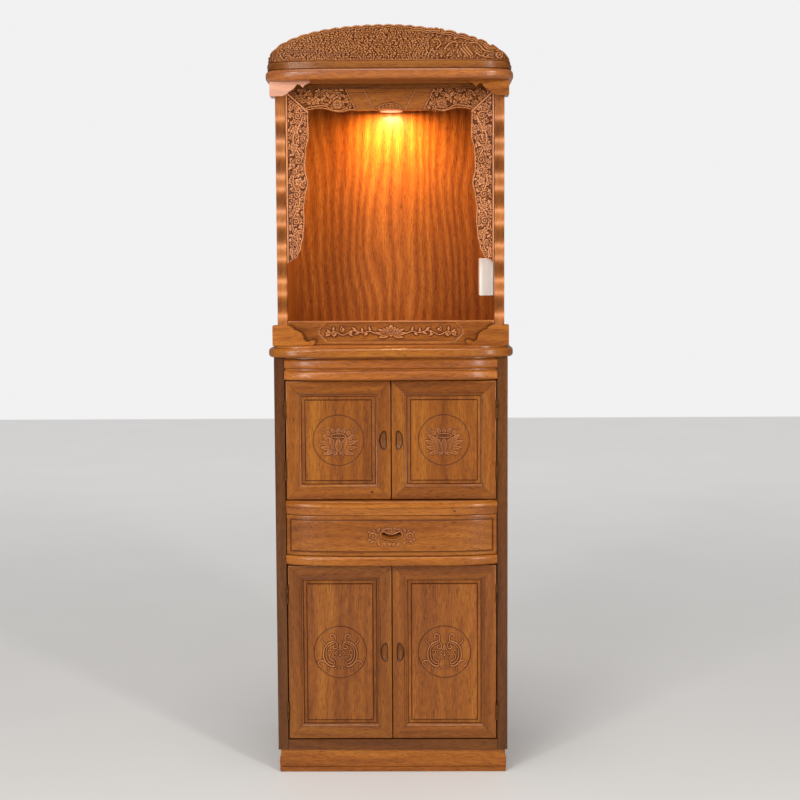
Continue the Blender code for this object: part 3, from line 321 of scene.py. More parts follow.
def old_brass(name, slot):
    brass = Finish(name, slot)
    x, y, z = brass.place()
    cloud = brass.noise(brass.join(x * 90, y * 90, z * 90), 4.0, 0.6)
    scratch = brass.noise(brass.join(x * 1200, y * 1200, z * 60), 2.0)
    tint = brass.tint(cloud.rise(0.35, 0.7), paint(112, 74, 36), paint(58, 36, 18))
    rough = 0.28 + cloud * 0.2 + scratch * 0.1
    normal = brass.bump(scratch, 0.0001, 0.25)
    return brass.surface(Base_Color=tint, Roughness=rough, Metallic=1.0, Normal=normal)


def moulded_plastic(name, slot, tint, worn):
    plastic = Finish(name, slot)
    x, y, z = plastic.place()
    haze = plastic.noise(plastic.join(x * 30, y * 30, z * 18), 3.0)
    grain = plastic.noise(plastic.join(x * 1500, y * 1500, z * 1500), 1.0)
    shown = plastic.tint(haze.rise(0.4, 0.75), tint, worn)
    normal = plastic.bump(grain, 0.00008, 0.3)
    return plastic.surface(Base_Color=shown, Roughness=0.32 + haze * 0.14, Normal=normal)


inner_wood = plain_wood("inner_wood", "inner_wood", "y")
inner_upright = plain_wood("inner_upright", "inner_wood", "z")
brass = old_brass("hinge_brass", "hinge_brass")
lamp_white = moulded_plastic("lamp_white", "lamp_housing", paint(232, 228, 220), paint(212, 204, 188))
switch_white = moulded_plastic("switch_white", "switch_plastic", paint(240, 236, 228),
                               paint(222, 214, 200))
LENS_RADIUS = 0.026
lens_glow = Finish("lens_glow", "lamp_lens")
x, y, z = lens_glow.place()
frost = lens_glow.noise(lens_glow.join(x * 700, y * 700, z * 700), 1.0)
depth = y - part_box("lamp_lens")[0].y - LENS_RADIUS
rim = (x * x + depth * depth).maths("SQRT")
glow = lens_glow.tint(rim.rise(0.012, 0.027), (1.0, 0.86, 0.58, 1.0), (1.0, 0.66, 0.30, 1.0))
lens_glow.surface(Base_Color=glow, Emission_Color=glow, Emission_Strength=0.45,
                  Roughness=0.4 + frost * 0.1)
print("finishes:", len(bpy.data.materials))

# %% [markdown]
# Each piece ends the same way. Its object is left at the origin, so its place is in its mesh, and then
# it is smoothed, given its finish and its two board numbers, and set to ride with the body whose plain
# piece it replaces. A small helper keeps one piece selected at a time, because the operators act on
# whatever is selected. The others here do what comes back again and again: join or cut with a second
# piece, turn the faces outwards, make a block, and draw rings inside one of its faces.

# %% Helpers that every piece uses
made = []
chance = np.random.RandomState(11)


def only(piece):
    """Makes one piece active and the only one selected."""
    if bpy.context.mode != "OBJECT":
        bpy.ops.object.mode_set(mode="OBJECT")
    bpy.ops.object.select_all(action="DESELECT")
    if piece is not None:
        piece.select_set(True)
        bpy.context.view_layer.objects.active = piece


def apply_modifiers(piece):
    only(piece)
    for modifier in list(piece.modifiers):
        bpy.ops.object.modifier_apply(modifier=modifier.name)


def combine(piece, other, operation):
    """Joins another piece to this one, or cuts it away."""
    change = piece.modifiers.new("change", "BOOLEAN")
    change.operation = operation
    change.object = other
    apply_modifiers(piece)
    bpy.data.objects.remove(other)


def turn_outwards():
    """Turns all faces of the piece in edit mode outwards, and leaves edit mode."""
    bpy.ops.mesh.select_all(action="SELECT")
    bpy.ops.mesh.normals_make_consistent(inside=False)
    bpy.ops.object.mode_set(mode="OBJECT")


def block(name, low, high):
    only(None)
    bpy.ops.mesh.primitive_cube_add(size=1)
    piece = bpy.context.active_object
    piece.name = name
    piece.scale = Vector(high) - Vector(low)
    piece.location = (Vector(high) + Vector(low)) / 2
    bpy.ops.object.transform_apply(location=True, rotation=True, scale=True)
    return piece


def pick_face(piece, direction):
    """Selects the one face that looks most in a direction."""
    aim = Vector(direction)
    best = max(piece.data.polygons, key=lambda face: (face.normal @ aim > 0.99, face.center @ aim))
    for face in piece.data.polygons:
        face.select = face.index == best.index
    for edge in piece.data.edges:
        edge.select = False
    for vertex in piece.data.vertices:
        vertex.select = vertex.index in set(best.vertices)


def draw_rings(piece, direction, *rings):
    """Draws rings inside the face that looks in a direction, each with a width and a lift."""
    only(piece)
    bpy.context.tool_settings.mesh_select_mode = (False, False, True)
    pick_face(piece, direction)
    bpy.ops.object.mode_set(mode="EDIT")
    for width, lift in rings:
        bpy.ops.mesh.inset(thickness=width, depth=lift)


def carry(piece, word, values):
    """Writes one number for each point of the piece into its mesh."""
    layer = piece.data.attributes.new(word, "FLOAT", "POINT")
    layer.data.foreach_set("value", np.asarray(values, np.float32).ravel())


def ease(piece, width, segments=2, degrees=38):
    """Rounds the sharp edges a little, as sandpaper does."""
    bevel = piece.modifiers.new("eased_edges", "BEVEL")
    bevel.width = width
    bevel.segments = segments
    bevel.limit_method = "ANGLE"
    bevel.angle_limit = math.radians(degrees)
    bevel.use_clamp_overlap = True
    apply_modifiers(piece)


def settle(piece, finish, *nodes, tone=0.0, degrees=38, weighted=True):
    """Gives a finished mesh its finish, its board numbers, and the plain pieces it stands for."""
    only(piece)
    bpy.ops.object.shade_smooth_by_angle(angle=math.radians(degrees))
    if weighted:
        even = piece.modifiers.new("even_shading", "WEIGHTED_NORMAL")
        even.keep_sharp = True
        apply_modifiers(piece)
    count = len(piece.data.vertices)
    carry(piece, "board", np.full(count, chance.rand()))
    carry(piece, "tone", np.full(count, tone))
    piece.data.materials.clear()
    piece.data.materials.append(finish.material)
    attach(piece, body_of[nodes[0]])
    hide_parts(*nodes)
    made.append(piece)
    return piece


# %% [markdown]
# Many boards are plain: shelves, the back, the sides, the niche's walls. Their plain pieces already have
# the right shape but knife-sharp edges, which no real board has. A copy of such a mesh is merged into
# one skin, its flat faces are joined, and its edges are eased by half a millimetre or so, which is what
# catches the light along a real edge.

# %% Plain boards with eased edges
def eased_board(node, finish, width=0.0008, tone=0.0, segments=2):
    source = frame["nodes"][node]
    board = bpy.data.objects.new(node + "_board", source.data.copy())
    bpy.context.scene.collection.objects.link(board)
    only(board)
    bpy.ops.mesh.customdata_custom_splitnormals_clear()
    bpy.ops.object.mode_set(mode="EDIT")
    bpy.ops.mesh.select_all(action="SELECT")
    bpy.ops.mesh.remove_doubles(threshold=0.00002)
    bpy.ops.mesh.dissolve_limited(angle_limit=math.radians(0.6))
    bpy.ops.object.mode_set(mode="OBJECT")
    ease(board, width, segments)
    return settle(board, finish, node, tone=tone)


for node, finish, width, tone in (
    ("side_left", upright, 0.0015, -0.66),
    ("side_right", upright, 0.0015, -0.63),
    ("bottom_rail", level, 0.0010, -0.52),
    ("plinth", level, 0.0008, 0.02),
    # The header board is set much darker, in part as painted shade under the canopy.
    ("header_board", level, 0.0008, -0.50),
    ("niche_side_left", upright, 0.0008, -0.05),
    ("niche_side_right", upright, 0.0008, -0.05),
    ("niche_back", ribboned, 0.0005, 0.0),
    ("back_board", inner_upright, 0.0005, -0.10),
    ("cupboard_floor", inner_wood, 0.0006, 0.0),
    ("shelf_under_drawer", inner_wood, 0.0006, 0.0),
    ("shelf_over_drawer", inner_wood, 0.0006, 0.0),
    ("drawer_tray", inner_wood, 0.0008, 0.05),
):
    eased_board(node, finish, width, tone)
print("plain boards:", len(made))

# %% [markdown]
# Rails, posts, table edges and carvings all have one thing in common: a section that runs along a path.
# A flat grid is added, its rows are laid along the section and its columns along the path, and the skin
# is closed. A grid gives even quads that shade well, and every row is a line that a moulding plane
# would have cut. Two ways of closing are needed: a tube, for a section that comes back to its start,
# and a skirt, for an edge that runs round three sides of a slab.

# %% Sections that run along a path
def lay_grid(name, points):
    """A grid whose points are given as rows, columns and places; it is still open."""
    rows, columns = points.shape[:2]
    only(None)
    bpy.ops.mesh.primitive_grid_add(x_subdivisions=columns - 1, y_subdivisions=rows - 1, size=2)
    sheet = bpy.context.active_object
    sheet.name = name
    sheet.data.name = name
    sheet.data.vertices.foreach_set("co", np.asarray(points, np.float32).ravel())
    sheet.data.update()
    return sheet


def pick_edges(sheet, chosen):
    """Selects the edges whose two ends are chosen, and nothing else."""
    mesh = sheet.data
    ends = np.empty(len(mesh.edges) * 2, np.int32)
    mesh.edges.foreach_get("vertices", ends)
    mesh.vertices.foreach_set("select", chosen)
    mesh.edges.foreach_set("select", chosen[ends[0::2]] & chosen[ends[1::2]])
    mesh.polygons.foreach_set("select", np.zeros(len(mesh.polygons), bool))


def close_tube(sheet, rows, columns):
    """Joins the last row to the first, fills the two ends and turns the faces outwards."""
    chosen = np.zeros((rows, columns), bool)
    chosen[[0, -1]] = True
    bpy.context.tool_settings.mesh_select_mode = (False, True, False)
    only(sheet)
    pick_edges(sheet, chosen.ravel())
    bpy.ops.object.mode_set(mode="EDIT")
    bpy.ops.mesh.bridge_edge_loops()
    bpy.ops.mesh.select_all(action="SELECT")
    bpy.ops.mesh.fill_holes(sides=0)
    turn_outwards()


def close_skirt(sheet, rows, columns):
    """Fills the top, the bottom and then the open back of a slab's edge."""
    bpy.context.tool_settings.mesh_select_mode = (False, True, False)
    for row in (0, -1):
        chosen = np.zeros((rows, columns), bool)
        chosen[row] = True
        only(sheet)
        pick_edges(sheet, chosen.ravel())
        bpy.ops.object.mode_set(mode="EDIT")
        bpy.ops.mesh.edge_face_add()
        bpy.ops.object.mode_set(mode="OBJECT")
    bpy.ops.object.mode_set(mode="EDIT")
    bpy.ops.mesh.select_all(action="SELECT")
    bpy.ops.mesh.fill_holes(sides=0)
    turn_outwards()


# %% [markdown]
# The rails between the stiles swell forward in the middle, each with its own nose. The drawer rail and
# the two frieze rails are rounded above and below, and the rail over the drawer has steps: a fillet, a
# nose, a quirk, a small bead. The bow is taken from the frame's own box, so the noses line up.

# %% Bowed rails
BOW = 0.028
RAIL_ROUND = 0.0090
FRIEZE_GROOVE = 0.0032
rail_low, rail_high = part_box("drawer_rail")
rail_half = rail_high.x
rail_back = rail_high.y
bow_ends = rail_low.y + BOW


def bow_line(x, half=rail_half):
    return BOW * (1 - np.minimum(1.0, np.abs(x) / half) ** 4)


def nose_levels(foot, top, radius, steps=9):
    """Heights and insets of a nose that is flat in the middle and round above and below."""
    levels = []
    for turn in np.linspace(math.pi / 2, 0, steps):
        levels.append((foot + radius * (1 - math.sin(turn)), radius * (1 - math.cos(turn))))
    for turn in np.linspace(0, math.pi / 2, steps):
        levels.append((top - radius * (1 - math.sin(turn)), radius * (1 - math.cos(turn))))
    return levels


def bowed_rail(node, levels, tone):
    columns = 121
    x = rail_half * np.sin(np.linspace(-math.pi / 2, math.pi / 2, columns)) * 0.5
    x = x + rail_half * np.linspace(-1, 1, columns) * 0.5
    levels = [(levels[0][0], None)] + list(levels) + [(levels[-1][0], None)]
    points = np.zeros((len(levels), columns, 3))
    for row, (z, inset) in enumerate(levels):
        y = rail_back if inset is None else bow_ends + inset - bow_line(x)
        points[row, :, 0] = x
        points[row, :, 1] = y
        points[row, :, 2] = z
    rail = lay_grid(node + "_moulded", points)
    close_tube(rail, len(levels), columns)
    return settle(rail, level, node, tone=tone, degrees=32)


def soft_step(share):
    return share * share * (3 - 2 * share)


def fine(levels, ways=4):
    """Rounds a profile given by a few points: each stretch is cut into smooth steps."""
    levels = np.array(levels)
    out = [tuple(levels[0])]
    for (z0, i0), (z1, i1) in zip(levels, levels[1:]):
        for way in range(1, ways + 1):
            share = way / ways
            out.append((z0 + (z1 - z0) * share, i0 + (i1 - i0) * soft_step(share)))
    return out


low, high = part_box("drawer_rail")
bowed_rail("drawer_rail", nose_levels(low.z, high.z, RAIL_ROUND), 0.04)
# The frieze rails are set lighter, in part as a painted highlight on their noses.
for node in ("frieze_rail_lower", "frieze_rail_upper"):
    low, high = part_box(node)
    nose_top = high.z - FRIEZE_GROOVE
    bowed_rail(node, nose_levels(low.z, nose_top, RAIL_ROUND) + [(high.z, RAIL_ROUND)], 0.26)
low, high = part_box("step_rail")
top = high.z
bowed_rail("step_rail", fine([
    (low.z, 0.0065), (top - 0.0195, 0.0045), (top - 0.0165, 0.0045), (top - 0.0155, 0.0010),
    (top - 0.0125, 0.0), (top - 0.0075, 0.0010), (top - 0.0055, 0.0050), (top - 0.0045, 0.0080),
    (top - 0.0020, 0.0075), (top, 0.0100),
]), 0.05)
print("bowed rails: 4")

# %% [markdown]
# The table top and the canopy are slabs with a rounded nose that runs round both front corners. The
# plan is nearly straight in front and turns in a soft shoulder, which is a superellipse. The thin plate
# under the niche has the same plan with a small square edge.

# %% Slabs with rounded shoulders
slab_low, slab_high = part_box("table_top")
PLAN_POWER = 5.0
FRONT_POINTS = 90
EDGE_CHAMFER = 0.0008
SHOULDER = 0.115


def slab_front(x, half, front):
    share = np.minimum(1.0, np.abs(x) / half)
    return front + SHOULDER * (1 - (1 - share ** PLAN_POWER) ** (1 / PLAN_POWER))


def slab_path(inset):
    """The plan of a slab's edge at one inset: along one side, round the front, and back."""
    half = slab_high.x - inset
    x = half * np.sin(np.linspace(-math.pi / 2, math.pi / 2, FRONT_POINTS))
    front = np.stack([x, slab_front(x, half, slab_low.y + inset)], 1)
    return np.concatenate([[[-half, slab_high.y]], front, [[half, slab_high.y]]])


def edged_slab(node, levels, finish, tone):
    paths = [slab_path(inset) for z, inset in levels]
    points = np.zeros((len(levels), len(paths[0]), 3))
    for row, (z, inset) in enumerate(levels):
        points[row, :, :2] = paths[row]
        points[row, :, 2] = z
    slab = lay_grid(node + "_edged", points)
    close_skirt(slab, len(levels), len(paths[0]))
    return settle(slab, finish, node, tone=tone, degrees=50)


# The canopy is set lighter, in part as a painted highlight on its nose.
for node, radius, tone in (("table_top", 0.0075, -0.06), ("canopy_board", 0.0105, 0.30)):
    low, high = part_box(node)
    edged_slab(node, nose_levels(low.z, high.z, radius), level, tone)
low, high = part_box("niche_base")
edge = low.y - slab_low.y
chamfered = [(low.z, edge), (high.z - EDGE_CHAMFER, edge), (high.z, edge + EDGE_CHAMFER)]
edged_slab("niche_base", chamfered, level, 0.12)
print("slabs: 3")

# %% [markdown]
# The two posts at the front of the niche have waves cut into their faces, with a plain stretch at the
# top. The section is a rectangle with rounded corners, and only its front points follow the wave. The
# valleys are painted darker as shade, and the shoulders of each wave carry a painted highlight.

# %% Wavy posts
WAVE = 0.003
WAVE_PITCH = 0.088
PLAIN_LENGTH = 0.070
WAVE_REACH = 0.012
POST_ROUND = 0.0022
POST_ROWS = 230


def rounded_section(low_x, high_x, front, back, radius, steps=5):
    """A rectangle with rounded corners, as (x, y, share of the wave)."""
    ring = []
    turns = ((high_x - radius, back - radius, 0), (low_x + radius, back - radius, 90),
             (low_x + radius, front + radius, 180), (high_x - radius, front + radius, 270))
    for centre_x, centre_y, start in turns:
        for step in range(steps + 1):
            angle = math.radians(start + 90 * step / steps)
            y = centre_y + radius * math.sin(angle)
            share = min(1.0, max(0.0, (front + WAVE_REACH - y) / WAVE_REACH))
            ring.append((centre_x + radius * math.cos(angle), y, share))
    return np.array(ring)


for word in ("left", "right"):
    low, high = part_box("post_" + word)
    ring = rounded_section(low.x, high.x, low.y, high.y, POST_ROUND)
    heights = np.linspace(low.z, high.z, POST_ROWS)
    below = np.maximum(0.0, high.z - PLAIN_LENGTH - heights)
    wave = WAVE * (1 - np.cos(2 * math.pi * below / WAVE_PITCH)) / 2
    points = np.zeros((len(ring), len(heights), 3))
    points[:, :, 0] = ring[:, :1]
    points[:, :, 1] = ring[:, 1:2] + ring[:, 2:] * wave
    points[:, :, 2] = heights
    post = lay_grid("post_" + word + "_waved", points)
    close_tube(post, len(ring), len(heights))
    depth = np.tile(wave, len(ring)) / WAVE
    # Painted shade in the wave valleys and a painted highlight on the wave shoulders.
    carry(post, "hollow", np.clip((depth - 0.55) * 1.3, 0, 0.55))
    carry(post, "crest", 1.05 * np.exp(-((depth - 0.28) / 0.24) ** 2))
    settle(post, carved_upright, "post_" + word, tone=0.14)
print("posts: 2")

# %% [markdown]
# The corner brackets are sawn from board: two swelling lobes from the flat at the post to a small tooth
# near the tip, with a wing that returns along the side. A circle is added with as many points as the
# outline has, the points are moved onto the outline, and the face is extruded to the board's thickness.

# %% Sawn corner brackets
def sawn_board(name, outline, front, thickness):
    """A board cut to an outline of (x, z) points."""
    only(None)
    bpy.ops.mesh.primitive_circle_add(vertices=len(outline), radius=0.05, fill_type="NGON")
    board = bpy.context.active_object
    board.name = name
    for vertex, (x, z) in zip(board.data.vertices, outline):
        vertex.co = (x, front, z)
    bpy.ops.object.mode_set(mode="EDIT")
    bpy.ops.mesh.select_all(action="SELECT")
    bpy.ops.mesh.extrude_region_move(TRANSFORM_OT_translate={"value": (0, thickness, 0)})
    turn_outwards()
    return board


BRACKET_THICK = 0.012

# Corners of each bracket from its root to its tip, as shares of its reach and height, each with the
# bulge of the arc that leads to it
FOOT_CORNERS = ((0.36, 1.0, 0.0), (0.50, 0.78, 0.035), (0.56, 0.75, 0.0), (0.72, 0.36, 0.045),
                (0.81, 0.17, -0.020), (0.89, 0.25, -0.015), (1.0, 0.17, 0.050), (0.935, 0.0, 0.0))
EAVE_CORNERS = ((0.30, 1.0, 0.0), (0.47, 0.70, 0.035), (0.52, 0.62, 0.0), (0.66, 0.24, 0.020),
                (0.74, 0.20, -0.030), (0.825, 0.44, 0.0), (0.89, 0.20, -0.015), (1.0, 0.0, 0.020))


def arc_between(start, end, bulge, steps=9):
    """Points of a shallow arc from start to end; a positive bulge swells to the right of its way."""
    dx, dz = end[0] - start[0], end[1] - start[1]
    points = []
    for step in range(1, steps):
        share = step / steps
        swell = 4 * bulge * share * (1 - share) / math.hypot(dx, dz)
        points.append((start[0] + dx * share - dz * swell, start[1] + dz * share + dx * swell))
    return points


def bracket_outline(side, node, corners, upwards):
    """The outline of a bracket inside its box in the frame."""
    low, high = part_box(node)
    outer = max(abs(low.x), abs(high.x))
    reach = outer - min(abs(low.x), abs(high.x))
    shares = [(0.0, 0.0), (0.0, 1.0)]
    for across, height, bulge in corners:
        if bulge:
            shares += arc_between(shares[-1], (across, height), bulge)
        shares.append((across, height))
    root, way = (low.z, 1) if upwards else (high.z, -1)
    rise = way * (high.z - low.z)
    return [(side * (outer - reach * across), root + rise * height) for across, height in shares]


for kind, corners, upwards, tones in (
    ("foot_bracket", FOOT_CORNERS, True, (0.16, 0.04)),
    # The left eave bracket is set much lighter and paler, as a painted highlight.
    ("eave_bracket", EAVE_CORNERS, False, (0.60, 0.12)),
):
    for side, word, tone in ((-1, "left", tones[0]), (1, "right", tones[1])):
        node = kind + "_" + word
        low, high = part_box(node)
        outline = bracket_outline(side, node, corners, upwards)
        bracket = sawn_board(node + "_sawn", outline, low.y, BRACKET_THICK)
        outer = max(abs(low.x), abs(high.x))
        inside = low.y + BRACKET_THICK / 2
        bpy.ops.mesh.primitive_cube_add(size=1)
        wing = bpy.context.active_object
        wing.scale = (BRACKET_THICK, high.y - low.y - BRACKET_THICK / 2, high.z - low.z)
        wing.location = (side * (outer - BRACKET_THICK / 2), (inside + high.y) / 2, (low.z + high.z) / 2)
        bpy.ops.object.transform_apply(location=True, rotation=True, scale=True)
        combine(bracket, wing, "UNION")
        ease(bracket, 0.0009, 2, 30)
        settle(bracket, level, node, tone=tone)
print("brackets: 4")

# %% [markdown]
# Carving is drawn as a map of heights, the way a carver thinks of it: first the outline of a leaf, then
# its rounding, then the dark cut round its edge that makes it stand out from what lies behind. Each
# stroke paints over what is there and cuts a fine groove just outside its own edge, so that later
# strokes look laid on top of earlier ones. Strokes are few: a stem along a line, a curl, a leaf or
# petal, a bead and a flower. All carvings on the cabinet are put together from these.

# %% A carver's strokes
NEIGHBOURS = 4
FULL_HOLLOW = 0.0008
FULL_CREST = 0.0010


class Carving:
    """A map of heights over flat places (x, z), built up stroke by stroke."""

    def __init__(self, x, z, ground=0.0):
        self.x = x
        self.z = z
        self.height = np.full(x.shape, ground)
        self.cut = 0.0009
        self.cut_width = 0.0011

    def near(self, x, z, reach):
        return np.nonzero((np.abs(self.x - x) < reach) & (np.abs(self.z - z) < reach))

    def lay(self, where, edge, height, rounding):
        """Paints where edge is below zero and cuts a groove just outside; edge is in metres."""
        held = self.height[where]
        inside = np.clip(-edge / rounding, 0.0, 1.0)
        rounded = height * np.sqrt(1 - (1 - inside) ** 2)
        groove = self.cut * np.clip(1 - edge / self.cut_width, 0.0, 1.0) * (edge >= 0)
        self.height[where] = np.where(edge < 0, np.maximum(rounded, held * 0.25), held - groove)

    def line_distance(self, where, line, widths):
        """Distance to a line less its half width, and how far to its left each place is."""
        x = self.x[where]
        z = self.z[where]
        best = np.full(x.shape, 9.0)
        side = np.zeros(x.shape)
        for (ax, az), (bx, bz), wa, wb in zip(line, line[1:], widths, widths[1:]):
            dx, dz = bx - ax, bz - az
            length = math.hypot(dx, dz) or 1e-9
            share = np.clip(((x - ax) * dx + (z - az) * dz) / length ** 2, 0.0, 1.0)
            off_x, off_z = x - ax - share * dx, z - az - share * dz
            edge = np.hypot(off_x, off_z) - (wa + (wb - wa) * share)
            closer = edge < best
            best = np.where(closer, edge, best)
            side = np.where(closer, (dx * off_z - dz * off_x) / length, side)
        return best, side

    def stem(self, line, width, height, taper=1.0):
        """A rounded ridge along a line of points."""
        line = np.asarray(line)
        middle = line.mean(0)
        reach = np.abs(line - middle).max() + width + 0.004
        where = self.near(middle[0], middle[1], reach)
        widths = np.linspace(width, width * taper, len(line))
        edge = self.line_distance(where, line, widths)[0]
        self.lay(where, edge, height, width)

    def rim(self, line, width, height):
        """A ridge along a long line, laid stretch by stretch."""
        for start in range(0, len(line) - 1, 8):
            self.stem(line[start:start + 9], width, height)

    def curl(self, x, z, radius, start, turns, width, height):
        """A spiral that winds in to a bead; turns is signed."""
        steps = max(10, int(abs(turns) * 22))
        line = []
        for step in range(steps + 1):
            share = step / steps
            angle = math.radians(start) + 2 * math.pi * turns * share
            grow = radius * (1 - 0.80 * share)
            line.append((x + grow * math.cos(angle), z + grow * math.sin(angle)))
        self.stem(line, width, height, taper=0.62)
        self.bead(x, z, width * 1.15, height * 1.1)
        return line[0]

    def bead(self, x, z, radius, height):
        where = self.near(x, z, radius + 0.003)
        edge = np.hypot(self.x[where] - x, self.z[where] - z) - radius
        self.lay(where, edge, height, radius)

    def leaf(self, x, z, angle, length, width, height, bend=0.0, blunt=0.0, vein=True, dish=0.0):
        """A leaf or petal from its foot; blunt rounds the tip, dish hollows it inside its rim."""
        where = self.near(x, z, length * 1.2 + 0.003)
        turn = math.radians(angle)
        px, pz = self.x[where] - x, self.z[where] - z
        along = (px * math.cos(turn) + pz * math.sin(turn)) / length
        inside = np.clip(along, 0.0, 1.0)
        across = -px * math.sin(turn) + pz * math.cos(turn) - bend * length * inside * inside
        pointed = np.sin(math.pi * inside ** 0.75) ** (0.9 - 0.35 * blunt)
        half = width / 2 * pointed
        beyond = np.maximum(0.0, np.maximum(-along, along - 1.0)) * length
        edge = np.where(beyond > 0, np.hypot(beyond, across), np.abs(across) - half)
        shape = height * (0.80 + 0.20 * inside)
        if dish:
            shape = shape * (1 - dish * np.clip(1 - (across / np.maximum(half, 1e-5)) ** 2, 0, 1))
        if vein:
            shape = shape - 0.35 * height * np.exp(-(across / 0.0007) ** 2) * (inside < 0.9)
        self.lay(where, edge, shape, max(0.0012, width * 0.28))

    def flower(self, x, z, radius, petals, height, turn=90.0):
        for number in range(petals):
            angle = turn + 360 * number / petals
            self.leaf(x, z, angle, radius, radius * 3.9 / petals, height, blunt=1.0, vein=False,
                      dish=0.35)
        self.bead(x, z, radius * 0.26, height * 1.15)


def mirrored(side, angle):
    """An angle on the right half, or its mirror image on the left half."""
    return angle if side > 0 else 180 - angle


def crossed(xs, zs):
    """Two tables of places, x and z, from the places of columns and rows."""
    return [table.copy() for table in np.broadcast_arrays(xs[None, :], zs[:, None])]


def edge_distance(x, z, low, high):
    """Distance to the nearest edge of a box."""
    return np.minimum(np.minimum(x - low.x, high.x - x), np.minimum(z - low.z, high.z - z))


def hollows(height):
    """How far each point lies below or above its neighbourhood, from 0 to 1 each."""
    padded = np.pad(height, NEIGHBOURS, mode="edge")
    size = 2 * NEIGHBOURS + 1
    total = np.zeros((height.shape[0], padded.shape[1]))
    for step in range(size):
        total += padded[step:step + height.shape[0]]
    mean = np.zeros(height.shape)
    for step in range(size):
        mean += total[:, step:step + height.shape[1]]
    mean /= size * size
    low = np.clip((mean - height) / FULL_HOLLOW, 0.0, 1.0)
    high = np.clip((height - mean) / FULL_CREST, 0.0, 1.0)
    return low, high


def carved_piece(name, points, first, last, height, finish, node, tone=0.0, ground=0.0, mask=1.0,
                 dark=0.0, lit=1.0):
    """Closes a carved sheet between a first and a last row at its back, and settles it."""
    low, high = hollows(height)
    # Painted shade: the sunk ground is darkened, and the extra darks add painted shadow; lit scales the
    # painted highlight.
    low = np.clip(low + np.clip(ground - height, 0, 0.0015) / 0.0015 * 0.35, 0, 1)
    low = np.clip(low * mask + dark, 0, 1)
    high = high * mask * lit
    rows = np.concatenate([first[None], points, last[None]])
    wide = rows.shape[1]
    blank = np.zeros((1, wide))
    sheet = lay_grid(name, rows)
    carry(sheet, "hollow", np.concatenate([blank, low, blank]))
    carry(sheet, "crest", np.concatenate([blank, high, blank]))
    close_tube(sheet, rows.shape[0], wide)
    settle(sheet, finish, node, tone=tone, degrees=60, weighted=False)
    print(name, "faces:", len(sheet.data.polygons), "relief mm:", round(float(np.ptp(height)) * 1000, 1))
    return sheet


def stacked(x, y, z):
    return np.stack(np.broadcast_arrays(x, y, z), -1)


def carved_board(name, work, front, back, height, *rest, **more):
    """Settles a carved board with square sides, from the place of its front and of its back."""
    first, last = (stacked(work.x[row], back, work.z[row]) for row in (0, -1))
    carved_piece(name, stacked(work.x, front, work.z), first, last, height, *rest, **more)


# %% [markdown]
# The crown is an arched board that follows the canopy's bowed front. It is carved all over, so closely
# that from a few steps away it reads as a rough, glittering ground of small leaves, curls and pearls.
# Its upper edge is cut in lobes and rolled over in bands. On the right the ground is calmer, with three
# slanting bars and a large curl, and a plain band runs along its foot. Height is worked out on the
# unrolled board, and the sheet is then bent to the plan.

# %% The carved crown
crown_low, crown_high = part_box("crown_board")
CROWN_INSET = 0.0030
CROWN_THICK = 0.016
CROWN_BAND = 0.018
ARCH_LEFT, ARCH_RIGHT = 2.12, 1.70
LEFT_LOBES, LOBE_RISE = 23, 0.0028
RIGHT_LOBES = ((0.119, 0.007), (0.132, 0.007), (0.155, 0.015), (0.186, 0.014), (0.210, 0.010),
               (0.233, 0.012), (0.262, 0.010), (0.284, 0.012))
CROWN_COLUMNS = 640
CROWN_ROWS = 138
BAND_SHARE = 0.12
PEAK = 0.0046
CROWN_RISE = crown_high.z - crown_low.z
crown_half = crown_high.x


def crown_top(x):
    share = np.minimum(1.0, np.abs(x) / crown_half)
    power = np.where(x < 0, ARCH_LEFT, ARCH_RIGHT)
    arch = (1 - share ** power) ** (1 / power)
    lobes = LOBE_RISE * np.abs(np.cos(math.pi * LEFT_LOBES * x / (2 * crown_half)))
    rounds = [np.sqrt(np.maximum(0, 1 - ((x - at) / half) ** 2)) for at, half in RIGHT_LOBES]
    lobes = np.where(x > 0.112, 0.0055 * np.max(rounds, axis=0), lobes)
    smooth = CROWN_BAND / 2 + (CROWN_RISE - LOBE_RISE - CROWN_BAND / 2) * arch
    return smooth + lobes * np.minimum(1, arch * 2)


def crown_plan(half, front, count):
    """Places along the crown's plan, closest where it turns: x, y and the run along the board."""
    angle = np.linspace(-math.pi / 2, math.pi / 2, 4001)
    x = half * np.sin(angle)
    y = slab_front(x, half, front)
    run = np.hypot(np.diff(x), np.diff(y))
    pace = np.concatenate([[0], np.cumsum(np.abs(np.diff(x)) + 0.55 * np.abs(np.diff(y)))])
    arc = np.concatenate([[0], np.cumsum(run)])
    middle = arc[-1] / 2
    stops = np.linspace(0, pace[-1], count)
    x, y, arc = (np.interp(stops, pace, values) for values in (x, y, arc))
    return x, y, arc - middle


front_x, front_y, crown_arc = crown_plan(crown_half, slab_low.y + CROWN_INSET, CROWN_COLUMNS)
back_half = crown_half - CROWN_THICK
back_x = front_x / crown_half * back_half
back_y = slab_front(back_x, back_half, slab_low.y + CROWN_INSET + CROWN_THICK)
out = np.stack([front_x - back_x, front_y - back_y], 1)
out /= np.linalg.norm(out, axis=1, keepdims=True)
rise = crown_top(front_x)
band = np.minimum(CROWN_BAND, rise * 0.5)
share = np.linspace(0, 1, CROWN_ROWS)[:, None]
height_z = np.where(share < BAND_SHARE, band * share / BAND_SHARE,
                    band + (rise - band) * (share - BAND_SHARE) / (1 - BAND_SHARE))
crown = Carving(np.broadcast_to(crown_arc, height_z.shape), height_z)
luck = np.random.RandomState(5)


def smooth_line(points, count=60):
    """A smooth line through a few points."""
    points = np.array(points)
    knots = np.linspace(0, len(points) - 1, count)
    line = np.stack([np.interp(knots, np.arange(len(points)), points[:, i]) for i in (0, 1)], 1)
    for _ in range(int(count / len(points))):
        line[1:-1] = (line[:-2] + 2 * line[1:-1] + line[2:]) / 4
    return line


def arc_at(x):
    """Place on the unrolled board of a world x."""
    return float(np.interp(x, front_x, crown_arc))


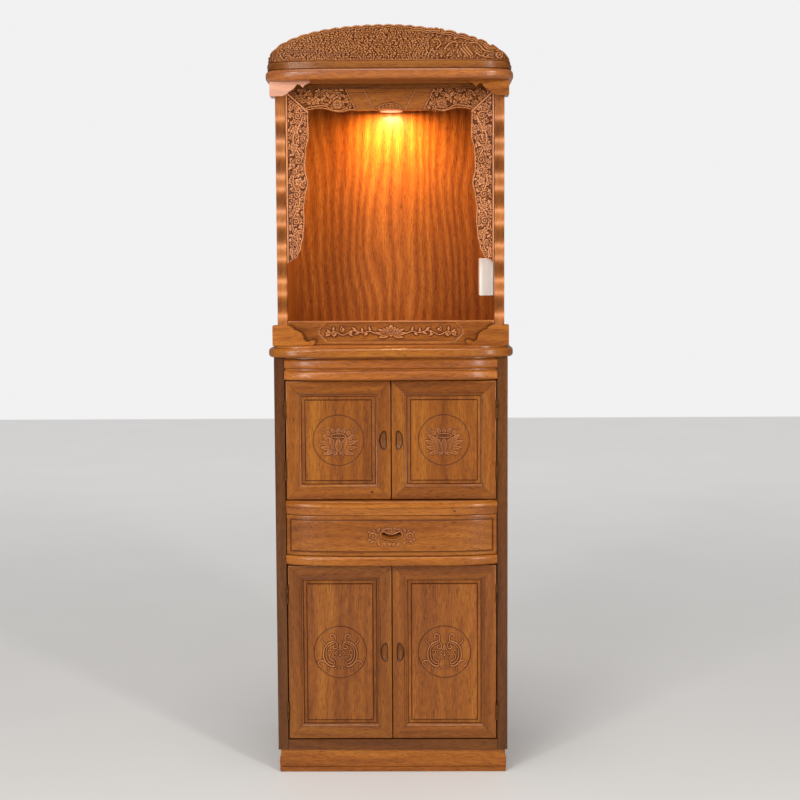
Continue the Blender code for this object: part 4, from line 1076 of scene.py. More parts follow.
BED_PITCH = 0.0060
BED_RISE = 0.0047
for row, bed_z in enumerate(np.arange(CROWN_BAND + 0.0040, CROWN_RISE, BED_RISE)):
    for bed_x in np.arange(-0.38, 0.38, BED_PITCH):
        x = bed_x + BED_PITCH / 2 * (row % 2) + luck.uniform(-0.0010, 0.0010)
        z = bed_z + luck.uniform(-0.0009, 0.0009)
        kind = luck.rand()
        turn = luck.uniform(0, 360)
        if np.interp(x, crown_arc, rise) < z + 0.004:
            continue
        tall = PEAK * luck.uniform(0.60, 0.95)
        along = float(np.interp(x, crown_arc, front_x))
        if along > 0.10 and luck.rand() < 0.35:
            continue
        tall *= float(np.interp(along, (0.04, 0.13), (1.0, 0.36)))
        if kind < 0.30:
            crown.curl(x, z, 0.0034, turn, 1.1 if kind < 0.15 else -1.1, 0.0011, tall)
        elif kind < 0.75:
            lean = luck.uniform(25, 155)
            crown.leaf(x, z - 0.0022, lean, 0.0068, 0.0042, tall, vein=False)
        else:
            crown.bead(x, z, 0.0023, tall)

edge_line = np.stack([crown_arc, rise], 1)
ahead = np.gradient(edge_line, axis=0)
ahead /= np.linalg.norm(ahead, axis=1, keepdims=True)
inwards = np.stack([ahead[:, 1], -ahead[:, 0]], 1)


def rim_roll(depth, width, tall, low_x, high_x):
    """A roll that follows the lobed edge at a depth below it."""
    crown.rim((edge_line + inwards * depth)[(front_x > low_x) & (front_x < high_x)][::4], width, tall)


rim_roll(0.0062, 0.0016, PEAK * 0.85, -0.29, 0.06)
rim_roll(0.0022, 0.0024, PEAK, -0.295, 0.30)
rim_roll(0.0112, 0.0015, PEAK * 0.85, 0.055, 0.262)
rim_roll(0.0068, 0.0019, PEAK * 0.95, 0.055, 0.285)
for x, z, radius in ((0.125, 0.088, 0.0042), (0.256, 0.058, 0.0052)):
    crown.bead(arc_at(x), z, radius, PEAK * 1.05)
    crown.bead(arc_at(x), z, radius * 0.45, PEAK * 1.15)
for line in (
    ((0.138, 0.044), (0.148, 0.056), (0.162, 0.062), (0.172, 0.056), (0.166, 0.047)),
    ((0.200, 0.058), (0.214, 0.060), (0.226, 0.052), (0.232, 0.042), (0.246, 0.038), (0.258, 0.040)),
    ((0.118, 0.046), (0.130, 0.056), (0.124, 0.066), (0.112, 0.068)),
    ((0.216, 0.034), (0.226, 0.028), (0.240, 0.024), (0.256, 0.023)),
):
    crown.stem(smooth_line([(arc_at(x), z) for x, z in line], 30), 0.0022, PEAK * 0.95, taper=0.7)
for shift in (-0.006, 0.0, 0.006):
    ends = ((0.184, 0.0465), (0.200, 0.0285))
    crown.stem([(arc_at(x + shift), z + shift * 0.4) for x, z in ends], 0.0024, PEAK)
crown.curl(arc_at(0.205), 0.0245, 0.0048, 90, 1.2, 0.0014, PEAK)
crown.curl(arc_at(0.272), 0.0315, 0.0105, 60, -1.5, 0.0021, PEAK * 1.05)
crown.curl(arc_at(0.150), 0.0320, 0.0062, 60, -1.2, 0.0016, PEAK * 0.9)
for x, z in ((0.2435, 0.0265), (0.172, 0.0265), (0.145, 0.0275), (0.168, 0.0530), (0.163, 0.069),
             (0.109, 0.077), (0.130, 0.0270), (0.232, 0.0275), (0.187, 0.0265), (0.119, 0.031)):
    crown.bead(arc_at(x), z, 0.0031, PEAK * 1.15)
below = np.clip((band - height_z) / 0.0012, 0.0, 1.0)
crown.height = crown.height * (1 - below) + PEAK * 0.50 * below
bead_line = np.clip(1 - np.abs(height_z - band - 0.0008) / 0.0012, 0, 1)
crown.height = np.maximum(crown.height, PEAK * 0.72 * np.sqrt(bead_line))
sunk = np.minimum(crown.height - PEAK, 0.0)
points = stacked(front_x + out[:, 0] * sunk, front_y + out[:, 1] * sunk, crown_low.z + height_z)
last = stacked(back_x, back_y, crown_low.z + rise - 0.0020)
first = stacked(back_x, back_y, crown_low.z)
carved_piece("crown_carved", points, first, last, crown.height, carved_level, "crown_board", -0.19,
             PEAK * 0.3, dark=0.20 * below, lit=0.75)

# %% [markdown]
# The valance hangs under the header board. Its middle is plain, with four slanting beads that look like
# pleats and a small scalloped arch at the foot; its ends are carved with rosettes, curls and rows of
# pearls, and are mitred onto the two side drops. Its lower edge rises and falls in lobes.

# %% The carved valance
low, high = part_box("valance")
POST_INNER = 0.264
DROP_WIDTH = 0.058
CARVED_THICK = 0.012
valance_front = high.y - CARVED_THICK
outer_x = high.x
inner_x = POST_INNER - DROP_WIDTH
VALANCE_ROWS = 60
VALANCE_COLUMNS = 440
LOW_RELIEF = 0.0034
FOOT_RISE = 0.0045
ROSETTE_X, ROSETTE_RISE = 0.131, 0.020

# The slanting beads: how far each is from the middle at its top and at its foot
INNER_SLANT = (0.066, 0.0365)
OUTER_SLANT = (0.112, 0.0835)


def valance_foot(x):
    """How far the lower edge lies above the lowest point of the board."""
    reach = np.abs(x) / inner_x
    middle = FOOT_RISE + 0.0020 * np.cos(math.pi * np.minimum(reach, 0.18) / 0.36)
    lobe = FOOT_RISE * (1 - np.sin(math.pi * np.clip((reach - 0.50) / 0.22, 0, 1)))
    ends = FOOT_RISE + 0.0050 * np.sin(math.pi * np.clip((reach - 0.72) / 0.28, 0, 1))
    outside = np.where(reach < 0.50, FOOT_RISE, np.where(reach < 0.72, lobe, ends))
    return np.where(reach < 0.18, middle, outside)


def slant_at(slant, z):
    """How far from the middle a slanting bead is at a height."""
    top, foot = slant
    return foot + (top - foot) * (z - low.z) / span


u = np.linspace(-1, 1, VALANCE_COLUMNS)
v = np.linspace(0, 1, VALANCE_ROWS)[:, None]
foot_x = u * inner_x
foot_z = low.z + valance_foot(foot_x)
grid_x = foot_x * (1 - v) + u * outer_x * v
grid_z = foot_z * (1 - v) + high.z * v
valance = Carving(grid_x, grid_z)
span = high.z - low.z
for side in (-1, 1):
    for row, z in enumerate(np.arange(low.z + 0.006, high.z - 0.002, 0.0080)):
        start = slant_at(OUTER_SLANT, z) + 0.006
        for off in np.arange(start + 0.0044 * (row % 2), 0.262, 0.0090):
            turn, kind = luck.uniform(0, 360), luck.rand()
            if kind < 0.5:
                hand = 1.15 if kind < 0.25 else -1.15
                valance.curl(side * off, z, 0.0056, turn, hand, 0.0014, LOW_RELIEF * 0.70)
            else:
                valance.leaf(side * off, z, turn, 0.0125, 0.0064, LOW_RELIEF * 0.68, bend=0.35)
    for number in range(5):
        x = side * (0.166 + 0.0052 * number)
        valance.bead(x, low.z + 0.046 - 0.0012 * number, 0.0021, LOW_RELIEF * 1.1)
    valance.leaf(side * 0.150, low.z + 0.036, 90 - side * 40, 0.020, 0.009, LOW_RELIEF)
    valance.leaf(side * 0.150, low.z + 0.036, 90 + side * 50, 0.018, 0.008, LOW_RELIEF)
    valance.flower(side * 0.186, low.z + 0.029, 0.0125, 5, LOW_RELIEF, 90)
    valance.curl(side * 0.203, low.z + 0.047, 0.0065, 90 - side * 90, side * 1.1, 0.0016, LOW_RELIEF)
    sweep = [(side * x, z + low.z) for x, z in (
        (0.205, 0.013), (0.190, 0.014), (0.175, 0.017), (0.160, 0.016),
        (0.150, 0.008), (0.138, 0.004), (0.124, 0.004), (0.112, 0.008))]
    valance.stem(smooth_line(sweep, 40), 0.0020, LOW_RELIEF, taper=0.9)
    valance.bead(side * ROSETTE_X, low.z + ROSETTE_RISE, 0.0135, LOW_RELIEF * 0.75)
    valance.flower(side * ROSETTE_X, low.z + ROSETTE_RISE, 0.0125, 7, LOW_RELIEF, 90)
    where = valance.near(side * ROSETTE_X, low.z + ROSETTE_RISE, 0.0022)
    valance.height[where] -= 0.0010
    for top_x, foot in (INNER_SLANT, OUTER_SLANT):
        line = [(side * top_x, high.z), (side * foot, low.z)]
        where = valance.near(side * (top_x + foot) / 2, (low.z + high.z) / 2, span * 0.62)
        edge = valance.line_distance(where, np.array(line), np.array([0.0011, 0.0011]))[0]
        valance.lay(where, edge, LOW_RELIEF * 0.55, 0.0011)
slant = slant_at(OUTER_SLANT, valance.z)
flat = np.abs(valance.x) < slant - 0.0012
bays = flat & (np.abs(valance.x) > slant_at(INNER_SLANT, valance.z) + 0.0012)
valance.height = np.where(flat & (valance.height < LOW_RELIEF * 0.5), 0.0003, valance.height)
ledge = bays & (np.abs(valance.z - (high.z - 0.009)) < 0.0007)
valance.height = np.where(ledge, -0.0006, valance.height)
for number in range(7):
    x = -0.027 + 0.009 * number
    rise_z = low.z + 0.0075 + 0.0085 * (1 - (x / 0.034) ** 2)
    valance.curl(x, rise_z, 0.0040, 90, 1.0 if x > 0 else -1.0, 0.0011, LOW_RELIEF * 0.7)
arch = [(x, low.z + 0.0085 + 0.0125 * (1 - (x / 0.036) ** 2)) for x in np.linspace(-0.036, 0.036, 25)]
valance.stem(arch, 0.0010, LOW_RELIEF * 0.7)
rim_line = np.stack([foot_x, foot_z + 0.0016], 1)[::4]
for start in range(0, len(rim_line) - 1, 10):
    if abs(rim_line[start, 0]) > 0.100:
        valance.stem(rim_line[start:start + 11], 0.0015, LOW_RELIEF * 0.8)
points = stacked(grid_x, valance_front - valance.height, grid_z)
first = stacked(foot_x, high.y, foot_z)
last = stacked(u * outer_x, high.y, high.z)
# Painted shade on the sunk ground between the carving at the ends.
dark = 0.5 * np.clip((0.0011 - valance.height) / 0.0006, 0, 1) * (np.abs(valance.x) > slant + 0.001)
carved_piece("valance_carved", points, first, last, valance.height, carved_level, "valance", -0.05,
             0.0006, dark=dark, lit=0.85)

# %% [markdown]
# A side drop hangs down each post. Its outer edge is straight, with a plain bead, and its inner edge
# waves in and out, widest at the mitre and closing in a leaf at the foot. A vine winds down it, with
# large curls where it turns, flowers between them, and small curls and leaves that fill what is left.
# The left drop is the mirror image of the right one in its outline, with a filling of its own.

# %% The carved side drops
DROP_ROWS = 400
DROP_COLUMNS = 62
MITRE_HALF = 0.0042
DROP_PROFILE = ((0.0, 1.0), (0.17, 1.02), (0.26, 0.89), (0.38, 0.86), (0.48, 0.97), (0.56, 0.86),
                (0.64, 0.78), (0.72, 0.805), (0.82, 0.75), (0.90, 0.64), (0.955, 0.50), (1.0, 0.09))


def eased_widths(share):
    """Width of a drop from its top, 0, to its tip, 1."""
    shares, widths = (np.array(part) for part in zip(*DROP_PROFILE))
    stretch = np.clip(np.searchsorted(shares, share, side="right") - 1, 0, len(shares) - 2)
    part = (share - shares[stretch]) / (shares[stretch + 1] - shares[stretch])
    eased = (1 - np.cos(math.pi * np.clip(part, 0, 1))) / 2
    return DROP_WIDTH * (widths[stretch] + (widths[stretch + 1] - widths[stretch]) * eased)


def width_at(share):
    return float(eased_widths(np.array(share)))


for side, word in ((-1, "left"), (1, "right")):
    node = "drop_" + word
    low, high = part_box(node)
    shoulder = low.z + (high.z - low.z) - (high.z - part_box("valance")[0].z) + 0.0043
    s = np.linspace(0, 1, DROP_ROWS)[None, :]
    t = np.linspace(0, 1, DROP_COLUMNS)[:, None]
    out_x = POST_INNER - 0.0003
    in_x = POST_INNER - eased_widths(s)
    out_z = high.z + (low.z - high.z) * s
    in_z = shoulder + (low.z + 0.0005 - shoulder) * s
    x = out_x * (1 - t) + in_x * t
    z = out_z * (1 - t) + in_z * t
    drop = Carving(x, z)
    length = shoulder - low.z
    front = high.y - CARVED_THICK
    vine = []
    for step in range(90):
        part = 0.02 + 0.93 * step / 89
        wide = width_at(part)
        vine.append((POST_INNER - wide * (0.53 + 0.20 * math.sin(2 * math.pi * 3.6 * part + 0.6)),
                     shoulder - length * part))
    for row, pz in enumerate(np.arange(low.z + 0.012, high.z - 0.004, 0.0086)):
        part = max(0.0, (shoulder - pz) / length)
        wide = width_at(min(part, 0.97))
        for off in np.arange(0.0105 + 0.0044 * (row % 2), wide - 0.002, 0.0092):
            if pz > shoulder + (high.z - shoulder) * (1 - off / DROP_WIDTH) - 0.006:
                continue
            turn, kind = luck.uniform(0, 360), luck.rand()
            if kind < 0.45:
                hand = 1.15 if kind < 0.22 else -1.15
                drop.curl(POST_INNER - off, pz, 0.0058, turn, hand, 0.0014, LOW_RELIEF * 0.72)
            else:
                drop.leaf(POST_INNER - off, pz, turn, 0.0130, 0.0068, LOW_RELIEF * 0.70, bend=0.35)
    for step in range(30):
        part = (step + 0.5) / 30 * 0.94
        wide = width_at(part)
        px = POST_INNER - 0.012 - (wide - 0.020) * ((step * 5 % 7) / 6)
        hand = 1.1 if step % 2 else -1.1
        pz = shoulder - length * part
        drop.curl(px, pz, 0.0066, luck.uniform(0, 360), hand, 0.0015, LOW_RELIEF * 0.85)
    drop.stem(vine, 0.0024, LOW_RELIEF, taper=0.7)
    for off, down, radius in ((0.0150, 0.016, 0.0068), (0.0290, 0.014, 0.0062), (0.0410, 0.011, 0.0052),
                              (0.0145, 0.033, 0.0060), (0.0280, 0.029, 0.0060)):
        pz = shoulder + (high.z - shoulder) * (1 - off / DROP_WIDTH) - down
        drop.curl(POST_INNER - off, pz, radius, 120, 1.35, 0.0015, LOW_RELIEF)
        drop.leaf(POST_INNER - off - 0.004, pz + 0.004, 130, 0.011, 0.0055, LOW_RELIEF * 0.9, vein=False)
    for part, off, radius, kind in (
        (0.035, 0.52, 0.0110, "curl"), (0.120, 0.40, 0.0100, "flower"), (0.185, 0.72, 0.0085, "curl"),
        (0.245, 0.35, 0.0095, "flower"), (0.325, 0.62, 0.0115, "curl"), (0.400, 0.38, 0.0080, "curl"),
        (0.465, 0.58, 0.0115, "flower"), (0.550, 0.50, 0.0105, "curl"), (0.640, 0.55, 0.0100, "flower"),
        (0.725, 0.48, 0.0100, "curl"), (0.800, 0.55, 0.0085, "flower"), (0.870, 0.45, 0.0080, "curl"),
    ):
        wide = width_at(part)
        px = POST_INNER - 0.006 - (wide - 0.008) * off
        pz = shoulder - length * part
        if kind == "flower":
            drop.flower(px, pz, radius, 5, LOW_RELIEF * 1.05, 90 + 40 * part)
        else:
            drop.bead(px, pz, radius * 0.95, LOW_RELIEF * 0.45)
            drop.curl(px, pz, radius * 0.86, 60, 1.5, 0.0018, LOW_RELIEF * 1.05)
    drop.leaf(POST_INNER - 0.011, low.z + 0.034, -55, 0.034, 0.012, LOW_RELIEF, bend=-0.15)
    drop.leaf(POST_INNER - 0.010, low.z + 0.040, -105, 0.034, 0.010, LOW_RELIEF, bend=0.10)
    drop.rim(np.stack([in_x[0] + 0.0016, in_z[0]], 1)[::4], 0.0015, LOW_RELIEF * 0.85)
    plain = (POST_INNER - x) < 0.0060
    bead = np.clip(1 - (np.abs(POST_INNER - x - 0.0032) / 0.0024) ** 2, 0, 1)
    drop.height = np.where(plain, 0.0018 * np.sqrt(bead), drop.height)
    drop.height = np.where(np.abs(POST_INNER - x - 0.0064) < 0.0006, -0.0009, drop.height)
    mitre_off = (z - shoulder) + (POST_INNER - DROP_WIDTH - x) * (high.z - shoulder) / DROP_WIDTH
    mitre = np.abs(mitre_off + 0.0045)
    fillet = (s < 0.2) & ~plain
    drop.height = np.where((mitre < MITRE_HALF) & fillet, 0.0016, drop.height)
    drop.height = np.where((np.abs(mitre - MITRE_HALF) < 0.0008) & fillet, -0.0009, drop.height)
    flip = np.array([side, 1.0, 1.0])
    points = stacked(x, front - drop.height, z) * flip
    first = stacked(np.full(DROP_ROWS, out_x), high.y, out_z[0]) * flip
    last = stacked(in_x[0], high.y, in_z[0]) * flip
    # Painted shade on the sunk ground of the carved field.
    field = (POST_INNER - x > 0.0070) & ((mitre > 0.0050) | (s > 0.2))
    dark = 0.55 * np.clip((0.0011 - drop.height) / 0.0006, 0, 1) * field
    carved_piece(node + "_carved", points, first, last, drop.height, carved_upright, node, 0.38,
                 0.0006, dark=dark, lit=0.75)

# %% [markdown]
# A low board closes the foot of the niche. It has a shallow eight-sided field with a lotus in the middle
# and a running vine on each side: a curl, a wave of the stem round a bud, and small leaves. A painted
# shadow darkens the wood along the outline of the two brackets that stand before it.

# %% The carved guard board
low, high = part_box("guard_board")
GUARD_COLUMNS = 480
GUARD_ROWS = 64
x, z = crossed(np.linspace(low.x, high.x, GUARD_COLUMNS), np.linspace(low.z, high.z, GUARD_ROWS))
guard = Carving(x, z)
GUARD_THICK = 0.014
middle_z = (low.z + high.z) / 2 + 0.0015
field_half = (high.x - low.x) / 2 * 0.69
field_rise = (high.z - low.z) * 0.40
off_x, off_z = np.abs(x), np.abs(z - middle_z)
corner = np.maximum(off_x - field_half + field_rise * 0.8, 0) + np.maximum(off_z - field_rise * 0.2, 0)
edge = np.maximum(np.maximum(off_x - field_half, off_z - field_rise), corner - field_rise * 0.8)
guard.height = np.where(edge < 0, -0.0012 * np.clip(-edge / 0.0010, 0, 1), 0.0)
guard.height -= 0.0010 * np.clip(1 - np.abs(edge) / 0.0010, 0, 1)
DEEP = 0.0026
for side in (-1, 1):
    stem = [(side * px, middle_z + pz) for px, pz in (
        (0.040, -0.004), (0.055, 0.003), (0.070, -0.004), (0.086, 0.002), (0.100, 0.004), (0.112, -0.004),
        (0.124, -0.009), (0.136, -0.003), (0.146, 0.003), (0.156, -0.004), (0.166, -0.005))]
    guard.stem(smooth_line(stem, 60), 0.0016, DEEP * 0.8, taper=0.8)
    for px, pz, angle, length in (
        (0.052, 0.002, 60, 0.014), (0.060, -0.002, -50, 0.012), (0.072, -0.002, 70, 0.014),
        (0.080, 0.000, -35, 0.014), (0.088, 0.004, 25, 0.015), (0.100, 0.003, -70, 0.012),
        (0.108, -0.004, 200, 0.013), (0.140, -0.002, -65, 0.013), (0.146, 0.003, 75, 0.012),
    ):
        lean = mirrored(side, angle)
        guard.leaf(side * px, middle_z + pz, lean, length, 0.0066, DEEP, bend=0.2 * side)
    guard.curl(side * 0.123, middle_z + 0.0068, 0.0066, 90 - side * 20, -side * 1.2, 0.0017, DEEP)
    guard.bead(side * 0.123, middle_z + 0.0068, 0.0030, DEEP)
    guard.curl(side * 0.149, middle_z - 0.0050, 0.0052, 90, side * 1.2, 0.0015, DEEP)
    for angle in (10, 45, -25):
        guard.leaf(side * 0.154, middle_z - 0.004, mirrored(side, angle), 0.016, 0.0066, DEEP)
    for angle, length in ((8, 0.040), (28, 0.036), (-14, 0.030)):
        guard.leaf(side * 0.004, middle_z - 0.008, mirrored(side, angle), length, 0.0105, DEEP * 0.8)
    for angle, length in ((64, 0.026), (44, 0.027)):
        lean = mirrored(side, angle)
        guard.leaf(0.0, middle_z - 0.010, lean, length, 0.0120, DEEP * 0.95, blunt=0.6, dish=0.3)
guard.leaf(0.0, middle_z - 0.011, 90, 0.029, 0.0200, DEEP, blunt=0.8, dish=0.3, vein=False)
for angle in (118, 62):
    guard.leaf(0.0, middle_z - 0.0115, angle, 0.022, 0.0110, DEEP * 1.1, blunt=0.7, dish=0.3, vein=False)
guard.leaf(0.0, middle_z - 0.012, 90, 0.018, 0.0120, DEEP * 1.2, blunt=0.8, dish=0.35, vein=False)
guard.bead(0.0, middle_z + 0.0035, 0.0032, DEEP * 1.25)
edge_soft = edge_distance(x, z, low, high)
guard.height -= 0.0012 * (1 - np.sqrt(np.clip(1 - (1 - np.clip(edge_soft / 0.0014, 0, 1)) ** 2, 0, 1)))
# A painted shadow of each foot bracket along its outline.
shaded = np.zeros(x.shape)
for side, word in ((-1, "left"), (1, "right")):
    outline = np.array(bracket_outline(side, "foot_bracket_" + word, FOOT_CORNERS, True))[1:]
    edge = guard.line_distance(np.s_[:], outline, np.zeros(len(outline)))[0]
    shaded += 0.75 * np.exp(-(edge / 0.0034) ** 2)
carved_board("guard_carved", guard, high.y - GUARD_THICK - guard.height, high.y, guard.height,
             carved_level, "guard_board", 0.04, -0.0012, 0.9, shaded)

# %% [markdown]
# Each door is a mitred frame round a raised panel. The frame starts as a block whose front is inset again
# and again: a flat, a quirk, a bead and a hollow that runs down to the panel. The middle is then opened
# by bridging the front to the back, and the finger recess is cut with a bean-shaped cutter whose foot
# is drawn in, so that its floor is dished.

# %% Door frames
FRAME_ROUND = 0.0026
RECESS_DEPTH = 0.0115

# Width and rise of each ring, from the frame's outer edge to its inner one
FRAME_STEPS = ((0.0004, 0.0010), (0.0006, 0.0007), (0.0010, 0.0006), (0.0016, 0.0003), (0.0259, 0.0),
               (0.0004, -0.0010), (0.0007, 0.0),
               (0.0004, 0.0007), (0.0008, 0.0004), (0.0008, 0.0), (0.0008, -0.0005), (0.0006, -0.0012),
               (0.0010, -0.0014), (0.0014, -0.0010), (0.0016, -0.0004))


def bean_ring(x, z, half_x, half_z, bend_x, count=40):
    """Points of an upright bean that leans by bend_x at its waist."""
    ring = []
    for number in range(count):
        angle = 2 * math.pi * number / count
        up = math.sin(angle)
        wide = math.copysign(abs(math.cos(angle)) ** 0.85, math.cos(angle))
        ring.append((x + half_x * wide + bend_x * (1 - up * up), z + half_z * up))
    return ring


def bean_cutter(ring, face_y, depth):
    """A cutter from in front of a face down to a dished floor."""
    cutter = sawn_board("bean_cutter", ring, face_y - 0.004, 0.004 + depth * 0.55)
    draw_rings(cutter, (0, 1, 0))
    for shrink, deeper in ((0.90, 0.22), (0.70, 0.15), (0.40, 0.08)):
        bpy.ops.mesh.extrude_region_move(TRANSFORM_OT_translate={"value": (0, depth * deeper, 0)})
        bpy.ops.transform.resize(value=(shrink, 1, shrink))
    turn_outwards()
    return cutter


def door_frame(name, tone):
    node = name + "_frame"
    low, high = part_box(node)
    side = 1 if low.x > 0 else -1
    piece = block(node + "_mitred", (low.x, low.y + FRAME_ROUND, low.z), (high.x, high.y, high.z))
    draw_rings(piece, (0, -1, 0), *FRAME_STEPS)
    bpy.ops.mesh.delete(type="FACE")
    draw_rings(piece, (0, 1, 0), (sum(width for width, forward in FRAME_STEPS), 0))
    bpy.ops.mesh.delete(type="FACE")
    bpy.ops.mesh.select_mode(type="EDGE")
    bpy.ops.mesh.select_all(action="DESELECT")
    bpy.ops.mesh.select_non_manifold(extend=False)
    bpy.ops.mesh.bridge_edge_loops()
    turn_outwards()
    inner = low.x if side > 0 else high.x
    ring = bean_ring(inner + side * 0.0165, (low.z + high.z) / 2, 0.0095, 0.025, side * 0.0030)
    combine(piece, bean_cutter(ring, low.y, RECESS_DEPTH), "DIFFERENCE")
    ease(piece, 0.0007, 2, 50)
    points = np.array([vertex.co for vertex in piece.data.vertices])
    depth = points[:, 1] - low.y
    held = (abs(points[:, 0] - ring[0][0]) < 0.022) & (abs(points[:, 2] - ring[0][1]) < 0.027)
    held &= (depth > 0.0012) & (depth < 0.0125)
    # Painted shade in the finger recess: its walls are made much darker, its floor less so.
    shade = np.where(held, np.where(depth > 0.009, -0.30, -0.62), tone)
    return settle(piece, framed, node, tone=shade)


for name, tone in (("door_lower_left", -0.31), ("door_lower_right", -0.20),
                   ("door_upper_left", -0.13), ("door_upper_right", -0.15)):
    door_frame(name, tone)
print("door frames: 4")

# %% [markdown]
# Each panel has a sunk band along its edge, then a step up to its face, and a round medallion cut into
# it: a lotus on the upper doors, and on the lower ones a figure of scrolls, the same to the left and to
# the right. The grid is much finer in the middle, where the carving is, than in the plain wood round it.

# %% Door panels and their medallions
LOTUS_RADIUS, SCROLL_RADIUS = 0.064, 0.067
MEDALLION_POINTS = 170
BAND_DEPTH = 0.0022
PANEL_DEEP = 0.0021
BAND_PLACES = np.array([0.0, 0.0004, 0.0009, 0.0016, 0.0026, 0.0060, 0.0080, 0.0092, 0.0098, 0.0104,
                        0.0110, 0.0118, 0.0126, 0.0140])
LOTUS_LEAVES = (
    (0.016, -0.004, 26, 0.031, 0.0130), (0.016, -0.010, 4, 0.034, 0.0140),
    (0.013, -0.018, -12, 0.034, 0.0140), (0.008, -0.024, -32, 0.034, 0.0130),
    (0.003, -0.026, -64, 0.017, 0.0105), (0.012, -0.020, 48, 0.026, 0.0120),
)

# The right half of the scrolls: the width, height and taper of each, and its line in millimetres
SCROLLS = (
    (0.0019, 1.0, 1.0, ((14, 29), (22, 27), (32, 22), (40, 12), (43, 0), (43, -14), (38, -26), (30, -34),
                        (20, -38), (15, -36))),
    (0.0014, 1.0, 1.0, ((15, 24), (26, 20), (34, 12), (37, 0), (36, -14), (31, -24), (24, -30),
                        (17, -31))),
    (0.0016, 0.9, 1.0, ((14, 29), (12, 36), (13, 43), (19, 47), (25, 45), (26, 40), (22, 38))),
    (0.0015, 0.9, 1.0, ((14, 29), (9, 22), (6, 14), (10, 8), (17, 9), (19, 14), (15, 17))),
    (0.0016, 1.0, 0.7, ((38, 20), (44, 25), (48, 32), (46, 35))),
    (0.0018, 1.0, 0.8, ((36, -27), (45, -22), (54, -24), (57, -31), (53, -36), (48, -38))),
    (0.0015, 1.0, 0.8, ((31, 3), (25, 5), (22, 0), (26, -6), (31, -8))),
    (0.0015, 1.0, 0.8, ((26, -6), (29, -14), (24, -20), (17, -22), (14, -28), (18, -33))),
    (0.0014, 1.0, 0.7, ((32, -40), (29, -46), (33, -51))),
)


def panel_steps(low, high, centre, reach, dense):
    """Places across a panel: close together at the edge's band and over the medallion."""
    left = low + BAND_PLACES
    right = high - BAND_PLACES[::-1]
    lead = np.linspace(left[-1], centre - reach, 6)[1:-1]
    tail = np.linspace(centre + reach, right[0], 6)[1:-1]
    return np.concatenate([left, lead, np.linspace(centre - reach, centre + reach, dense), tail, right])


def lotus_medallion(work, cx, cz, deep):
    for angle in (20, 42, 66, 90, 114, 138, 160):
        reach = 0.022 + 0.007 * abs(math.cos(math.radians(angle)))
        px, pz = reach * math.cos(math.radians(angle)), reach * 0.75 * math.sin(math.radians(angle))
        work.leaf(cx + px, cz + pz, angle, 0.0165, 0.0125, deep * 0.75, blunt=0.25, dish=0.3)
    for side in (-1, 1):
        for px, pz, angle, length, width in LOTUS_LEAVES:
            lean = mirrored(side, angle)
            work.leaf(cx + side * px, cz + pz, lean, length, width, deep, bend=0.22 * side, blunt=0.15,
                      dish=0.25)
        work.curl(cx + side * 0.036, cz + 0.027, 0.0052, 90 - side * 90, side * 1.2, 0.0012, deep * 0.7)
    for px, angle in ((-0.011, 112), (0.011, 68)):
        work.leaf(cx + px * 0.6, cz - 0.028, angle, 0.040, 0.0190, deep * 1.05, blunt=0.6, dish=0.35)
    work.leaf(cx, cz - 0.030, 90, 0.036, 0.0200, deep * 1.2, blunt=0.6, dish=0.35)
    turns = np.linspace(0, 2 * math.pi, 30)
    rim = [(cx + 0.0185 * math.cos(a), cz + 0.0115 + 0.0052 * math.sin(a)) for a in turns]
    work.stem(rim, 0.0014, deep * 1.15)
    for number in range(5):
        work.bead(cx - 0.010 + 0.005 * number, cz + 0.0115, 0.0013, deep)


def scroll_medallion(work, cx, cz, deep):
    for side in (-1, 1):
        for width, tall, taper, line in SCROLLS:
            line = smooth_line([(cx + side * px / 1000, cz + pz / 1000) for px, pz in line], 44)
            work.stem(line, width, deep * tall, taper=taper)
        work.curl(cx + side * 0.0105, cz - 0.0030, 0.0056, 90, side * 1.25, 0.0013, deep)
        work.curl(cx + side * 0.0135, cz - 0.0155, 0.0046, 90, -side * 1.2, 0.0012, deep * 0.9)
        work.bead(cx + side * 0.0052, cz + 0.0065, 0.0026, deep)
        for px, pz in ((0.004, -0.040), (0.012, -0.043)):
            work.bead(cx + side * px, cz + pz, 0.0023, deep * 1.2)
        for px, pz in ((0.0035, -0.0160), (0.0085, -0.0225)):
            work.bead(cx + side * px, cz + pz, 0.0018, deep * 0.9)
    work.leaf(cx, cz + 0.004, 90, 0.018, 0.0080, deep, blunt=0.3)
    work.bead(cx, cz - 0.0080, 0.0030, deep * 1.1)


def door_panel(name, radius, artist, tone):
    node = name + "_panel"
    low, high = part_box(node)
    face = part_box(name + "_frame")[0].y + 0.0035
    cx, cz = (low.x + high.x) / 2, (low.z + high.z) / 2
    xs = panel_steps(low.x, high.x, cx, radius + 0.0035, MEDALLION_POINTS)
    zs = panel_steps(low.z, high.z, cz, radius + 0.0035, MEDALLION_POINTS)
    x, z = crossed(xs, zs)
    work = Carving(x, z)
    away = np.hypot(x - cx, z - cz)
    disc = away < radius
    work.cut_width = 0.0012
    artist(work, cx, cz, PANEL_DEEP)
    work.height = np.where(disc, work.height - 0.0006 * np.clip((radius - away) / 0.003, 0, 1), 0.0)
    work.height -= 0.0016 * np.clip(1 - np.abs(away - radius) / 0.0013, 0, 1)
    edge = edge_distance(x, z, low, high)
    work.height -= BAND_DEPTH * (1 - soft_step(np.clip((edge - 0.0094) / 0.0018, 0, 1)))
    work.height -= 0.0008 * np.exp(-((edge - 0.0092) / 0.0006) ** 2)
    work.height -= 0.0014 * np.exp(-(edge / 0.0010) ** 2)
    # Painted shadow lines in the groove at the panel's edge, at the band's step and round the medallion.
    dark = np.exp(-(edge / 0.0021) ** 2) + 0.95 * np.exp(-((edge - 0.0098) / 0.0015) ** 2)
    dark += 0.85 * np.exp(-((away - radius) / 0.0015) ** 2)
    mask = (away < radius - 0.002) * 1.0
    carved_board(node + "_carved", work, face - work.height, high.y, work.height, carved_upright, node,
                 tone, -0.0008, mask, dark, lit=0.55)


